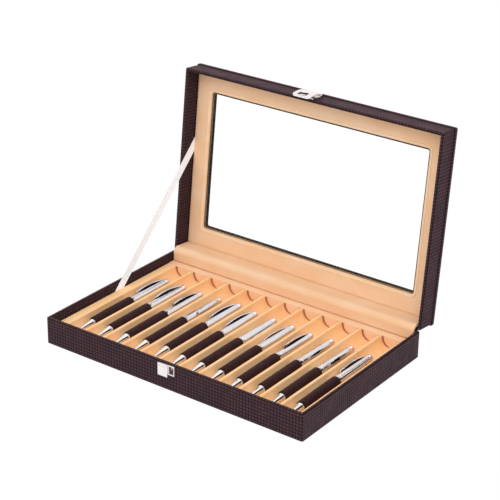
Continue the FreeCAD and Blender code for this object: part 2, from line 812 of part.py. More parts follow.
def hasp_face():
    """The hasp seen from the front: rounded free end, shoulders and the notch round the middle knuckle."""
    half, corner, low = size("hasp_width") / 2, size("hasp_corner"), -size("hasp_overhang")
    half_leaf = size("leaf_width") / 2
    half_notch = half_leaf * size("knuckle_share") + size("knuckle_gap")
    notch = knuckle_depth - size("notch_depth")
    shoulder_height = knuckle_depth - (half - half_leaf)
    top = knuckle_depth + size("knuckle_radius")
    upper = [
        (half, low + corner), (half, shoulder_height),
        (half_leaf, knuckle_depth), (half_leaf, top), (half_notch, top),
        (half_notch, notch), (-half_notch, notch), (-half_notch, top),
        (-half_leaf, top), (-half_leaf, knuckle_depth),
        (-half, shoulder_height), (-half, low + corner),
    ]
    return outline(
        *zip(upper, upper[1:]),
        quarter((-half, low + corner), (-half, low), (corner - half, low)),
        ((corner - half, low), (half - corner, low)),
        quarter((half - corner, low), (half, low), (half, low + corner)),
    )


def make_hasp():
    """The swinging hasp: a bowed plate with an arched opening, a sprung tongue and two knuckles."""
    depth, thickness = size("box_depth"), size("hasp_thickness")
    free_end = -size("hasp_overhang")
    outer = [
        (-(depth + size("hasp_end_height")), free_end),
        (-(depth + size("hasp_bow_height")), (knuckle_depth + free_end) / 2),
        (-(knuckle_reach + size("knuckle_radius")), knuckle_depth),
    ]
    centre, radius = circle_through(*outer)

    def bow(height, inset=0):
        """The place on the bow's outer face at this height, or inset from it."""
        return centre.x - math.sqrt((radius - inset) ** 2 - (height - centre.y) ** 2), height

    inside = [bow(height, thickness) for _, height in outer]
    owner = body("HaspBow")
    legs = [tuple(outer), (outer[2], inside[2]), tuple(reversed(inside)), (inside[0], outer[0])]
    pad(owner, "BowPad", sketch(owner, "BowProfile", "YZ_Plane", outline(*legs)), "hasp_width")
    owner.Placement = Placement(Vector(size("clasp_centre"), 0, 0), Rotation())
    face = body("HaspFace")
    pad(
        face, "FacePad",
        sketch(face, "FaceProfile", "XZ_Plane", hasp_face()),
        "2 * (hasp_bow_height + hasp_thickness)",
    )
    face.Placement = Placement(Vector(size("clasp_centre"), -depth, 0), Rotation())
    trimmed = common("HaspTrimmed", owner, face)
    plate = cut("HaspArch", trimmed, arch_prism("Arch", "arch_radius"))

    root = free_end + size("arch_bar") - thickness
    tip = -size("arch_top_drop") - size("arch_radius") + size("tongue_radius")
    tip_face = -(depth + size("tongue_tip_height"))
    spring = body("HaspSpring")
    corners = [bow(root), (tip_face - thickness, tip), (tip_face, tip), bow(root, thickness)]
    pad(
        spring, "SpringPad",
        sketch(spring, "SpringProfile", "YZ_Plane", polygon(corners)),
        "2 * tongue_radius",
    )
    spring.Placement = Placement(Vector(size("tongue_centre"), 0, 0), Rotation())
    rounded_end = arch_prism("TongueArch", "tongue_radius")
    lower_end = box(
        "TongueRoot", "2 * tongue_radius", "hasp_bow_height + hasp_thickness", "hasp_thickness",
        "tongue_centre - tongue_radius", "-(box_depth + hasp_bow_height + hasp_thickness)",
        f"{ARCH_BOTTOM} - hasp_thickness",
    )
    tongue = common("HaspTongue", spring, fuse("TongueShape", rounded_end, lower_end))
    nib = box(
        "HaspNib", "nib_width", "tongue_tip_height - nib_height + hasp_thickness / 2", "nib_length",
        "tongue_centre + nib_offset - nib_width / 2", "-(box_depth + tongue_tip_height + hasp_thickness / 2)",
        "-(catch_top_drop + housing_slot_drop + housing_slot_height / 2) - nib_length / 2",
    )

    half_notch = f"({LEAF_KNUCKLE} / 2 + knuckle_gap)"
    knuckle_length = f"(leaf_width / 2 - {half_notch})"
    left_x, right_x = "clasp_centre - leaf_width / 2", f"clasp_centre + {half_notch}"
    left = cylinder("HaspLeftBarrel", "knuckle_radius", knuckle_length, left_x, KNUCKLE_Y, KNUCKLE_Z, ALONG_X)
    right = cylinder(
        "HaspRightBarrel", "knuckle_radius", knuckle_length, right_x, KNUCKLE_Y, KNUCKLE_Z, ALONG_X
    )
    whole = fuse("HaspWhole", plate, tongue, nib, left, right)
    node("hasp_plate", bored("Hasp", whole, left_x, "leaf_width"), LID_OPEN)


# ---------------------------------------------------------------- pens, each along its own Y axis


def pen_barrel():
    """The lacquered barrel, from the joint with the cap forward."""
    rounding, length = size("pen_barrel_rounding"), size("pen_barrel_length")
    rear, front = size("pen_barrel_radius"), size("pen_barrel_front_radius")
    owner = body("PenBarrel")
    legs = [
        ((0, 0), (rear - rounding, 0)),
        quarter((rear - rounding, 0), (rear, 0), (rear, -rounding)),
        ((rear, -rounding), (front, rounding - length)),
        quarter((front, rounding - length), (front, -length), (front - rounding, -length)),
        ((front - rounding, -length), (0, -length)),
        ((0, -length), (0, 0)),
    ]
    revolve(owner, "BarrelTurn", sketch(owner, "BarrelProfile", "XY_Plane", outline(*legs)), "Y_Axis")
    return owner


def pen_tip():
    """The metal cone and writing point in front of the barrel."""
    start = -size("pen_barrel_length")
    end = start - size("pen_tip_length")
    point = size("pen_point_radius")
    owner = body("PenTip")
    corners = [
        (0, start), (size("pen_tip_radius"), start), (size("pen_tip_front_radius"), end),
        (point, end), (point, end - size("pen_point_length")), (0, end - size("pen_point_length")),
    ]
    revolve(owner, "TipTurn", sketch(owner, "TipProfile", "XY_Plane", polygon(corners)), "Y_Axis")
    return owner


def pen_cap():
    """The metal rear half with its bowed clip, which points straight up."""
    length, rounding = size("pen_cap_length"), size("pen_cap_rounding")
    front_radius, end_radius = size("pen_cap_radius"), size("pen_cap_end_radius")
    turned = body("PenCap")
    legs = [
        ((0, 0), (front_radius, 0)),
        ((front_radius, 0), (end_radius, length - rounding)),
        quarter((end_radius, length - rounding), (end_radius, length), (end_radius - rounding, length)),
        ((end_radius - rounding, length), (0, length)),
        ((0, length), (0, 0)),
    ]
    revolve(turned, "CapTurn", sketch(turned, "CapProfile", "XY_Plane", outline(*legs)), "Y_Axis")

    def surface(along):
        return front_radius + (end_radius - front_radius) * along / (length - rounding)

    thickness = size("clip_thickness")
    rear = length - size("clip_inset")
    front = rear - size("clip_length")
    root_end = rear - size("clip_root_length")
    foot = surface(rear) - size("clip_root_depth")
    outer = (
        (rear, surface(rear) + thickness),
        ((rear + front) / 2, front_radius + size("clip_rise")),
        (front, surface(front) + size("clip_end_gap") + thickness),
    )
    centre, radius = circle_through(*outer)

    def underside(along):
        return along, centre.y + math.sqrt((radius - thickness) ** 2 - (along - centre.x) ** 2)

    legs = [
        ((rear, foot), outer[0]), outer, (outer[2], underside(front)),
        (underside(front), underside((front + root_end) / 2), underside(root_end)),
        (underside(root_end), (root_end, foot)), ((root_end, foot), (rear, foot)),
    ]
    clip = body("PenClip")
    pad(clip, "ClipPad", sketch(clip, "ClipProfile", "YZ_Plane", outline(*legs)), "clip_width")
    return fuse("PenCapWithClip", turned, clip)


def make_pens():
    """A pen in each slot, with its own place along the slot and its own turn."""
    barrel, tip, cap = pen_barrel(), pen_tip(), pen_cap()
    doc.recompute()
    height = trough_bottom + size("pen_clearance") + size("pen_barrel_radius")
    forward = size("pen_barrel_length") + size("pen_tip_length") + size("pen_point_length")
    junction = size("pen_front_gap") + forward - cavity_half_depth
    for index in range(slot_count):
        x = (index - (slot_count - 1) / 2) * slot_pitch
        y = junction + PEN_SHIFTS[index % len(PEN_SHIFTS)]
        turn = Rotation(Vector(0, 1, 0), -PEN_CLIP_TURNS[index % len(PEN_CLIP_TURNS)])
        place = Placement(Vector(x, y, height), turn)
        copies(f"pen_{index + 1:02d}_barrel", [barrel.Shape], place)
        copies(f"pen_{index + 1:02d}_metal", [cap.Shape, tip.Shape], place)


# ---------------------------------------------------------------- build, check and write

make_base_shell()
make_tray()
make_lid_shell()
make_lid_panel()
make_hinge_lining()
make_hinge_strip()
make_stay_ribbon()
make_catch()
make_hasp_leaf()
make_hasp()
make_pens()
doc.recompute()

for obj in doc.Objects:
    if "Invalid" in obj.State or "Error" in obj.State:
        raise RuntimeError(f"{obj.Label} failed: {obj.State}")
for name, obj in NODES.items():
    if obj.Shape.isNull() or not obj.Shape.isValid():
        raise RuntimeError(f"{name} has no valid shape")

os.makedirs("parts", exist_ok=True)
for name, obj in NODES.items():
    obj.Shape.exportStep(f"parts/{name}.step")
    print(f"{name}: {len(obj.Shape.Solids)} solid(s), {obj.Shape.Volume:.1f} mm3")
print(f"{len(NODES)} nodes; hasp axis at {LID_OPEN.multVec(Vector(0, -knuckle_reach, knuckle_depth))}")
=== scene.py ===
"""The looks of an open, cloth-lined chest for twelve pens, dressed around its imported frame.

Every size is in metres, in the row frame: x runs along the front, y goes back and z up.
"""

import json
import logging
import math
from contextlib import contextmanager
from dataclasses import dataclass, field
from enum import Enum
from functools import partial
from typing import Callable, Iterable, Iterator, NamedTuple, Sequence

import bmesh
import bpy
from mathutils import Matrix, Vector, noise


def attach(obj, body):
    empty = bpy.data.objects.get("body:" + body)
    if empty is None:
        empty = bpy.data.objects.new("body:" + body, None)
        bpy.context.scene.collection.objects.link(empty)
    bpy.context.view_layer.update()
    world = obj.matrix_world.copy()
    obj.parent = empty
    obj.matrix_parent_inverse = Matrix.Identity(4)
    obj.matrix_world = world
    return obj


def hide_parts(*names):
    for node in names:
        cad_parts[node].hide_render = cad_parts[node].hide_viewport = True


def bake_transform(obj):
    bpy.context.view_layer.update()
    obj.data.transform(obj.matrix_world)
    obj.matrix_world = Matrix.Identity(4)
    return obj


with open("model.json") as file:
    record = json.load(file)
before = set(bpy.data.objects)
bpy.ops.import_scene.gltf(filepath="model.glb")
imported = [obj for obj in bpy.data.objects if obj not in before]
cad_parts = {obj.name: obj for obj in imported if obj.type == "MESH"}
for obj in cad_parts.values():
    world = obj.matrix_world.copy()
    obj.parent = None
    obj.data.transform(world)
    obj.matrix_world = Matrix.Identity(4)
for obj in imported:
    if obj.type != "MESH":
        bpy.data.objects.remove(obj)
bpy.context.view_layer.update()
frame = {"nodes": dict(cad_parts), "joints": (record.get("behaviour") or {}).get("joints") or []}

MM = 0.001
SMOOTH_BELOW = math.radians(38)
WELD = 0.02 * MM
TURN = 2 * math.pi
QUARTER = math.pi / 2
WHITE = (1.0, 1.0, 1.0, 1.0)

Colour = tuple[float, ...]
Line = list[tuple[float, float]]
Socket = bpy.types.NodeSocket

log = logging.getLogger("pen_chest")


# ---------------------------------------------------------------- places and names


class Body(Enum):
    """The bodies that the chest's own pieces ride on."""

    BASE = "chest_base"
    LID = "lid"
    HASP = "hasp"


class Slot(Enum):
    """The record's material slots, passed along with the dressed pieces but not read here."""

    LEATHERETTE = "leatherette"
    BOARD = "board"
    VELVET = "velvet"
    RIBBON = "ribbon"
    CLASP = "clasp_steel"
    LACQUER = "pen_lacquer"
    CHROME = "pen_chrome"


@dataclass(frozen=True)
class LidPlace:
    """Where the lid hangs at rest: its hinge line and how far it stands open."""

    hinge_y: float
    hinge_z: float
    opening: float

    @classmethod
    def from_frame(cls) -> "LidPlace":
        """Reads the place from the frame's lid joint, whose rest is the open lid.

        Returns:
            The place.
        """
        joint = next(row for row in frame["joints"] if row["child"] == Body.LID.value)
        _, hinge_y, hinge_z = joint["pos_m"]
        return cls(hinge_y, hinge_z, math.radians(-min(joint["range_deg"])))

    def matrix(self) -> Matrix:
        """Returns the turn and shift from the closed lid's frame, at the hinge line, to the open lid."""
        hinge = Matrix.Translation((0, self.hinge_y, self.hinge_z))
        return hinge @ Matrix.Rotation(-self.opening, 4, "X")

    def point(self, x: float, reach: float, depth: float) -> Vector:
        """A point of the open lid.

        Args:
            x: Place along the front.
            reach: Distance forward from the hinge line, along the lid.
            depth: Height above the rim plane of the closed lid.

        Returns:
            The point in the row frame.
        """
        return self.matrix() @ Vector((x, -reach, depth))


class Corner(NamedTuple):
    """A corner of a box."""

    x: float
    y: float
    z: float


@dataclass(frozen=True)
class Box:
    """The box of a frame node."""

    low: Corner
    high: Corner

    @classmethod
    def of(cls, node: str, place: Matrix | None = None) -> "Box":
        """Measures a node at rest, to a micrometre.

        Args:
            node: The node's name.
            place: The frame that it is measured in, where that isn't the row frame.

        Returns:
            The node's box.
        """
        back = Matrix() if place is None else place.inverted()
        points = [back @ vert.co for vert in frame["nodes"][node].data.vertices]
        low, high = (
            Corner(*(round(pick(point[axis] for point in points), 6) for axis in range(3)))
            for pick in (min, max)
        )
        return cls(low, high)

    def middle(self, axis: int) -> float:
        """Returns the middle of the box along an axis."""
        return round((self.low[axis] + self.high[axis]) / 2, 6)


LID_PLACE = LidPlace.from_frame()
DIVIDERS = sorted(name for name in frame["nodes"] if name.startswith("divider_"))
STRIPS = Box.of("tray_side_strips")
RAIL = Box.of("tray_rear_rail")
PANEL = Box.of("lid_velvet_panel", LID_PLACE.matrix())
GLASS = Box.of("lid_glass", LID_PLACE.matrix())
LINING = Box.of("hinge_lining")
BACK_STRIP = Box.of("hinge_back_strip")


# ---------------------------------------------------------------- mesh drafts


def linked(name: str, data: bpy.types.ID) -> bpy.types.Object:
    """Puts data into the scene.

    Args:
        name: The new object's name.
        data: Its mesh, light or camera.

    Returns:
        The object.
    """
    thing = bpy.data.objects.new(name, data)
    bpy.context.scene.collection.objects.link(thing)
    return thing


def applied(piece: bpy.types.Object) -> bpy.types.Object:
    """Makes a piece's evaluated shape its plain mesh.

    Args:
        piece: The piece with its modifiers.

    Returns:
        The piece, with no modifier left.
    """
    bpy.context.view_layer.update()
    graph = bpy.context.evaluated_depsgraph_get()
    mesh = bpy.data.meshes.new_from_object(piece.evaluated_get(graph))
    piece.modifiers.clear()
    piece.data = mesh
    return piece


@contextmanager
def editing(mesh: bpy.types.Mesh) -> Iterator[bmesh.types.BMesh]:
    """Opens a mesh for editing and writes it back afterwards.

    Args:
        mesh: The mesh.

    Yields:
        The mesh as it is edited.
    """
    edit = bmesh.new()
    edit.from_mesh(mesh)
    yield edit
    edit.to_mesh(mesh)
    edit.free()


def shade_smooth(mesh: bpy.types.Mesh) -> None:
    """Shades a mesh smooth, with its sharper edges kept crisp."""
    mesh.shade_smooth()
    mesh.set_sharp_from_angle(angle=SMOOTH_BELOW)


@dataclass
class Draft:
    """Points and faces of a piece while it is drawn."""

    points: list[Vector] = field(default_factory=list)
    faces: list[tuple[int, ...]] = field(default_factory=list)

    def add(self, other: "Draft") -> None:
        """Adds another draft's points and faces to this one.

        Args:
            other: The other draft.
        """
        start = len(self.points)
        self.points.extend(other.points)
        self.faces.extend(tuple(index + start for index in face) for face in other.faces)

    def moved(self, matrix: Matrix) -> "Draft":
        """Returns a copy of this draft, moved by the matrix."""
        return Draft([matrix @ point for point in self.points], list(self.faces))

    def make(self, name: str, outward: bool = True) -> bpy.types.Object:
        """Makes the piece from the draft.

        Args:
            name: The new object's name.
            outward: Whether the faces are turned to point outwards.

        Returns:
            The object, at the origin, linked to the scene.
        """
        mesh = bpy.data.meshes.new(name)
        mesh.from_pydata([tuple(point) for point in self.points], [], self.faces)
        with editing(mesh) as edit:
            bmesh.ops.remove_doubles(edit, verts=edit.verts, dist=WELD * 0.1)
            if outward:
                bmesh.ops.recalc_face_normals(edit, faces=edit.faces)
        shade_smooth(mesh)
        return linked(name, mesh)


def loft(rings: Sequence[Sequence[Vector]], looped: bool = False) -> Draft:
    """Joins closed rings of equal length into a closed skin.

    Args:
        rings: The rings, in order.
        looped: Whether the last ring joins the first one. Both are filled where it doesn't.

    Returns:
        The draft of the skin.
    """
    count = len(rings[0])
    draft = Draft([point for ring in rings for point in ring])
    spans = len(rings) if looped else len(rings) - 1
    for span in range(spans):
        low, high = span * count, (span + 1) % len(rings) * count
        for index in range(count):
            after = (index + 1) % count
            draft.faces.append((low + index, low + after, high + after, high + index))
    if not looped:
        last = (len(rings) - 1) * count
        draft.faces.append(tuple(reversed(range(count))))
        draft.faces.append(tuple(range(last, last + count)))
    return draft


def lathe(profile: Line, segments: int) -> Draft:
    """Turns a profile about the y axis.

    Args:
        profile: (radius, place along y) pairs, which start and end on the axis.
        segments: How many sides the turned form has.

    Returns:
        The closed draft, with single points at its poles.
    """
    first, last = profile[0], profile[-1]
    draft = Draft([Vector((0, first[1], 0))])
    for radius, along in profile[1:-1]:
        for step in range(segments):
            angle = TURN * step / segments
            draft.points.append(Vector((radius * math.cos(angle), along, radius * math.sin(angle))))
    draft.points.append(Vector((0, last[1], 0)))
    end = len(draft.points) - 1
    rows = len(profile) - 2
    for step in range(segments):
        after = (step + 1) % segments
        draft.faces.append((0, 1 + step, 1 + after))
        for row in range(rows - 1):
            low, high = 1 + row * segments, 1 + (row + 1) * segments
            draft.faces.append((low + step, high + step, high + after, low + after))
        low = 1 + (rows - 1) * segments
        draft.faces.append((low + step, end, low + after))
    return draft


def arc(centre: tuple[float, float], radius: float, start: float, end: float, steps: int) -> Line:
    """Points of an arc in a plane.

    Args:
        centre: The arc's centre.
        radius: Its radius.
        start: Its first angle, in degrees.
        end: Its last angle, in degrees.
        steps: How many straight runs stand for it.

    Returns:
        The points, both ends among them.
    """
    angles = [math.radians(start + (end - start) * step / steps) for step in range(steps + 1)]
    return [
        (centre[0] + radius * math.cos(angle), centre[1] + radius * math.sin(angle))
        for angle in angles
    ]


def steps_between(start: float, end: float, count: int) -> list[float]:
    """Returns evenly spaced numbers from start to end, both among them."""
    return [start + (end - start) * step / count for step in range(count + 1)]


def ripple(place: Vector, size: float, seed: float) -> float:
    """Returns smooth unevenness from about -1 to 1, with waves of the given size."""
    return noise.noise(place / size + Vector((seed, seed * 1.7, seed * 0.3)))


def map_along(mesh: bpy.types.Mesh, start: Vector, along: Vector, across: Vector) -> None:
    """Lays a map in metres on a flat strip.

    Args:
        mesh: The strip's mesh.
        start: Where the map begins.
        along: The strip's direction.
        across: The direction of its width.
    """
    layer = mesh.uv_layers.new(name="UVMap")
    for loop in mesh.loops:
        away = mesh.vertices[loop.vertex_index].co - start
        layer.data[loop.index].uv = (away.dot(across), away.dot(along))


# ---------------------------------------------------------------- geometry nodes


class Recipe:
    """A geometry node tree with named sizes, which is run once on a piece and kept as its mesh."""

    def __init__(self, name: str, **sizes: float) -> None:
        """Starts the tree.

        Args:
            name: The tree's name.
            sizes: Its named sizes, where a whole number is a count.
        """
        self.sizes = sizes
        self.tree = bpy.data.node_groups.new(name, "GeometryNodeTree")
        face = self.tree.interface
        face.new_socket("Geometry", in_out="INPUT", socket_type="NodeSocketGeometry")
        for label, value in sizes.items():
            kind = "NodeSocketInt" if isinstance(value, int) else "NodeSocketFloat"
            face.new_socket(label, in_out="INPUT", socket_type=kind)
        face.new_socket("Geometry", in_out="OUTPUT", socket_type="NodeSocketGeometry")
        self.given = self.tree.nodes.new("NodeGroupInput").outputs
        self.end = self.tree.nodes.new("NodeGroupOutput")

    def add(self, kind: str, **inputs: object) -> Socket:
        """Adds a node.

        Args:
            kind: The node's type.
            inputs: A value or a linked socket for each input, with underscores for its spaces.

        Returns:
            The node's first output.
        """
        node = self.tree.nodes.new(kind)
        for label, value in inputs.items():
            socket = node.inputs[label.replace("_", " ")]
            if isinstance(value, Socket):
                self.tree.links.new(value, socket)
            else:
                socket.default_value = value
        return node.outputs[0]

    def run(
        self, piece: bpy.types.Object, geometry: Socket, material: bpy.types.Material
    ) -> bpy.types.Object:
        """Ends the tree in real geometry and runs it on a piece.

        Args:
            piece: The mesh that the tree works on.
            geometry: The tree's result.
            material: The result's finish.

        Returns:
            The piece, with the result as its plain mesh.
        """
        real = self.add("GeometryNodeRealizeInstances", Geometry=geometry)
        painted = self.add("GeometryNodeSetMaterial", Geometry=real, Material=material)
        self.tree.links.new(painted, self.end.inputs["Geometry"])
        modifier = piece.modifiers.new("Recipe", "NODES")
        modifier.node_group = self.tree
        known = {
            item.name: item.identifier
            for item in self.tree.interface.items_tree if item.in_out == "INPUT"
        }
        for label, value in self.sizes.items():
            modifier[known[label]] = value
        return applied(piece)


def repeat_in_row(
    piece: bpy.types.Object,
    material: bpy.types.Material,
    count: int,
    pitch: float,
    axis: str = "X",
    weld: bool = False,
) -> bpy.types.Object:
    """Repeats a piece in a straight row, as one mesh.

    Args:
        piece: The first of the row.
        material: The row's finish.
        count: How many there are.
        pitch: How far apart they lie.
        axis: The axis that the row follows.
        weld: Whether neighbours are joined where they meet.

    Returns:
        The piece, which holds the whole row.
    """
    sizes = {"Count": count, "Pitch": pitch}
    if weld:
        sizes["Weld"] = WELD
    recipe = Recipe(f"{piece.name}_row", **sizes)
    step = recipe.add("ShaderNodeCombineXYZ", **{axis: recipe.given["Pitch"]})
    row = recipe.add("GeometryNodeMeshLine", Count=recipe.given["Count"], Offset=step)
    copies = recipe.add(
        "GeometryNodeInstanceOnPoints", Points=row, Instance=recipe.given["Geometry"]
    )
    if weld:
        real = recipe.add("GeometryNodeRealizeInstances", Geometry=copies)
        copies = recipe.add(
            "GeometryNodeMergeByDistance", Geometry=real, Distance=recipe.given["Weld"]
        )
    return recipe.run(piece, copies, material)


# ---------------------------------------------------------------- finishes


class Shading:
    """A material's nodes, added one at a time."""

    def __init__(self, name: str) -> None:
        """Starts an empty material.

        Args:
            name: The material's name.
        """
        self.material = bpy.data.materials.new(name)
        self.material.use_nodes = True
        self.tree = self.material.node_tree
        self.tree.nodes.clear()
        self.output = self.tree.nodes.new("ShaderNodeOutputMaterial")
        self.places = self.tree.nodes.new("ShaderNodeTexCoord").outputs
        self.place = self.places["Object"]

    def add(
        self, kind: str, inputs: dict[object, object] | None = None, **settings: object
    ) -> bpy.types.Node:
        """Adds a node.

        Args:
            kind: The node's type.
            inputs: A value or a linked socket for each of its inputs.
            settings: Its other settings.

        Returns:
            The node.
        """
        node = self.tree.nodes.new(kind)
        for label, value in settings.items():
            setattr(node, label, value)
        for label, value in (inputs or {}).items():
            self.feed(node.inputs[label], value)
        return node

    def feed(self, socket: Socket, value: object) -> None:
        """Links a socket into another one, or sets its value.

        Args:
            socket: The socket that is fed.
            value: The other socket, or the value.
        """
        if isinstance(value, Socket):
            self.tree.links.new(value, socket)
        else:
            socket.default_value = value

    def math(self, operation: str, *values: object) -> Socket:
        """Does a sum.

        Args:
            operation: The sum's name.
            values: The numbers or sockets that go into it.

        Returns:
            The result's socket.
        """
        node = self.add("ShaderNodeMath", operation=operation)
        for index, value in enumerate(values):
            self.feed(node.inputs[index], value)
        return node.outputs[0]

    def mapped(self, place: Socket, kind: str = "POINT", **changes: object) -> Socket:
        """Shifts, turns or stretches a place.

        Args:
            place: The place's socket.
            kind: Whether it is a POINT or a VECTOR.
            changes: The Location, Rotation or Scale.

        Returns:
            The changed place's socket.
        """
        return self.add("ShaderNodeMapping", {"Vector": place, **changes}, vector_type=kind).outputs[0]

    def split(self, place: Socket) -> Sequence[Socket]:
        """Returns a place's three sockets, along x, y and z."""
        return self.add("ShaderNodeSeparateXYZ", {0: place}).outputs

    def blend(self, share: object, first: object, second: object) -> Socket:
        """Mixes two colours.

        Args:
            share: How much of the second one shows, from 0 to 1.
            first: The first colour.
            second: The second colour.

        Returns:
            The mixed colour's socket.
        """
        node = self.add("ShaderNodeMix", data_type="RGBA")
        for index, value in ((0, share), (6, first), (7, second)):
            self.feed(node.inputs[index], value)
        return node.outputs[2]

    def choose(self, share: object, first: object, second: object) -> Socket:
        """Mixes two numbers.

        Args:
            share: How much of the second one counts, from 0 to 1.
            first: The first number.
            second: The second number.

        Returns:
            The mixed number's socket.
        """
        node = self.add("ShaderNodeMix", data_type="FLOAT")
        for index, value in ((0, share), (2, first), (3, second)):
            self.feed(node.inputs[index], value)
        return node.outputs[0]

    def noise(self, place: Socket, scale: float, detail: float = 2.0) -> Socket:
        """Makes noise from 0 to 1.

        Args:
            place: Where it is read.
            scale: How many of its waves a metre holds.
            detail: How many finer layers it has.

        Returns:
            The noise's socket.
        """
        inputs = {"Vector": place, "Scale": scale, "Detail": detail}
        return self.add("ShaderNodeTexNoise", inputs).outputs[0]

    def soften(
        self, value: object, low: float, high: float, out_low: float = 0.0, out_high: float = 1.0
    ) -> Socket:
        """Carries a value smoothly from one range to another.

        Args:
            value: The value.
            low: Where its range starts.
            high: Where its range ends.
            out_low: What the start becomes.
            out_high: What the end becomes.

        Returns:
            The new value's socket.
        """
        ends = {"From Min": low, "From Max": high, "To Min": out_low, "To Max": out_high}
        node = self.add("ShaderNodeMapRange", {"Value": value, **ends}, interpolation_type="SMOOTHSTEP")
        return node.outputs[0]

    def bump(self, height: object, depth: float, below: Socket | None = None) -> Socket:
        """Raises a normal by a height from 0 to 1.

        Args:
            height: The height's socket.
            depth: What a height of 1 is, in metres.
            below: Another bump that this one lies on.

        Returns:
            The normal's socket.
        """
        node = self.add("ShaderNodeBump", {"Height": height, "Distance": depth, "Strength": 1.0})
        if below is not None:
            self.feed(node.inputs["Normal"], below)
        return node.outputs[0]

    def surface(self, **sockets: object) -> Socket:
        """Adds the principled surface and uses it.

        Args:
            sockets: A value or a socket for each input, with underscores for its spaces.

        Returns:
            The surface's socket.
        """
        inputs = {label.replace("_", " "): value for label, value in sockets.items()}
        body = self.add("ShaderNodeBsdfPrincipled", inputs).outputs[0]
        self.feed(self.output.inputs["Surface"], body)
        return body

    def mix_surfaces(self, share: Socket, first: Socket, second: Socket) -> None:
        """Uses a mix of two surfaces.

        Args:
            share: How much of the second one shows, from 0 to 1.
            first: The first surface.
            second: The second surface.
        """
        mix = self.add("ShaderNodeMixShader", {0: share, 1: first, 2: second})
        self.feed(self.output.inputs["Surface"], mix.outputs[0])


def tone(red: int, green: int, blue: int) -> Colour:
    """Turns a screen colour into the linear colour that the nodes take.

    Args:
        red: Its red, from 0 to 255.
        green: Its green.
        blue: Its blue.

    Returns:
        The linear colour, opaque.
    """

    def linear(value: float) -> float:
        """One channel as linear light."""
        share = value / 255
        return share / 12.92 if share <= 0.04045 else ((share + 0.055) / 1.055) ** 2.4

    return linear(red), linear(green), linear(blue), 1.0


def scaled(colour: Colour, factor: float) -> Colour:
    """Returns a colour made darker or lighter by a factor."""
    return tuple(value * factor for value in colour[:3]) + (1.0,)


@dataclass(frozen=True)
class WovenLeatherette:
    """Dark leatherette, embossed with a square weave of raised cells."""

    name: str
    turned_with_lid: bool = False
    pitch: float = 3.85 * MM
    groove_foot: float = 0.02
    groove: float = 0.26
    relief: float = 0.35 * MM
    cell_height: float = 0.8
    threads_in_cell: float = 3.0
    thread_height: float = 0.3
    grain_scale: float = 2600.0
    grain_depth: float = 0.05 * MM
    patch_scale: float = 55.0
    cell: Colour = tone(66, 44, 49)
    line: Colour = tone(20, 11, 13)
    warm: Colour = tone(87, 56, 60)
    warm_share: float = 0.55
    cool: Colour = tone(64, 50, 63)
    cool_share: float = 0.6
    gloss: float = 0.1
    roughness: tuple[float, float] = (0.52, 0.66)
    sheen: float = 0.1
    sheen_tint: Colour = tone(214, 150, 168)

    def squares(self, sheet: Shading) -> list[Socket]:
        """Counts the cells across the faces, along the faces' own directions.

        Args:
            sheet: The material's nodes.

        Returns:
            The two counts' sockets.
        """
        place, facing = sheet.place, sheet.places["Normal"]
        if self.turned_with_lid:
            back = LID_PLACE.matrix().inverted()
            turn = back.to_euler()
            place = sheet.mapped(place, Location=back.translation, Rotation=turn)
            facing = sheet.mapped(facing, "VECTOR", Rotation=turn)
        along = sheet.split(place)
        sizes = [sheet.math("ABSOLUTE", size) for size in sheet.split(facing)]
        side = sheet.math("GREATER_THAN", sizes[0], sheet.math("MAXIMUM", sizes[1], sizes[2]))
        top = sheet.math("GREATER_THAN", sizes[2], sheet.math("MAXIMUM", sizes[0], sizes[1]))
        ways = (sheet.choose(side, along[0], along[1]), sheet.choose(top, along[2], along[1]))
        return [sheet.math("DIVIDE", way, self.pitch) for way in ways]

    def build(self) -> bpy.types.Material:
        """Makes the material.

        Returns:
            The material.
        """
        sheet = Shading(self.name)
        counts = self.squares(sheet)
        edges = [sheet.math("PINGPONG", count, 0.5) for count in counts]
        walls = [sheet.soften(edge, self.groove_foot, self.groove) for edge in edges]
        raised = sheet.math("MULTIPLY", *walls)
        indexes = [sheet.math("FLOOR", count) for count in counts]
        index = sheet.add("ShaderNodeCombineXYZ", {"X": indexes[0], "Y": indexes[1]}).outputs[0]
        chance = sheet.add("ShaderNodeTexWhiteNoise", {"Vector": index}, noise_dimensions="2D").outputs[0]
        over = sheet.math("ABSOLUTE", sheet.math("MODULO", sheet.math("ADD", *indexes), 2.0))
        finer = [sheet.math("MULTIPLY", count, self.threads_in_cell) for count in counts]
        thread = sheet.choose(over, *(sheet.math("PINGPONG", count, 0.5) for count in finer))
        patch = sheet.noise(sheet.place, self.patch_scale, 3.0)
        mix = sheet.blend(sheet.soften(chance, 0.0, 1.0, 0.0, self.warm_share), self.cell, self.warm)
        mix = sheet.blend(sheet.soften(patch, 0.35, 0.7, 0.0, self.cool_share), mix, self.cool)
        cells = sheet.math("MULTIPLY", raised, self.cell_height)
        height = sheet.math("ADD", cells, sheet.math("MULTIPLY", thread, self.thread_height))
        fine = sheet.bump(sheet.noise(sheet.place, self.grain_scale), self.grain_depth)
        # The grooves between the raised cells take the near-black line colour: painted shade in the
        # grooves.
        sheet.surface(
            Base_Color=sheet.blend(raised, self.line, mix),
            Roughness=sheet.soften(patch, 0.3, 0.8, *self.roughness),
            Specular_IOR_Level=self.gloss,
            Sheen_Weight=self.sheen,
            Sheen_Roughness=0.5,
            Sheen_Tint=self.sheen_tint,
            Normal=sheet.bump(height, self.relief, fine),
        )
        return sheet.material


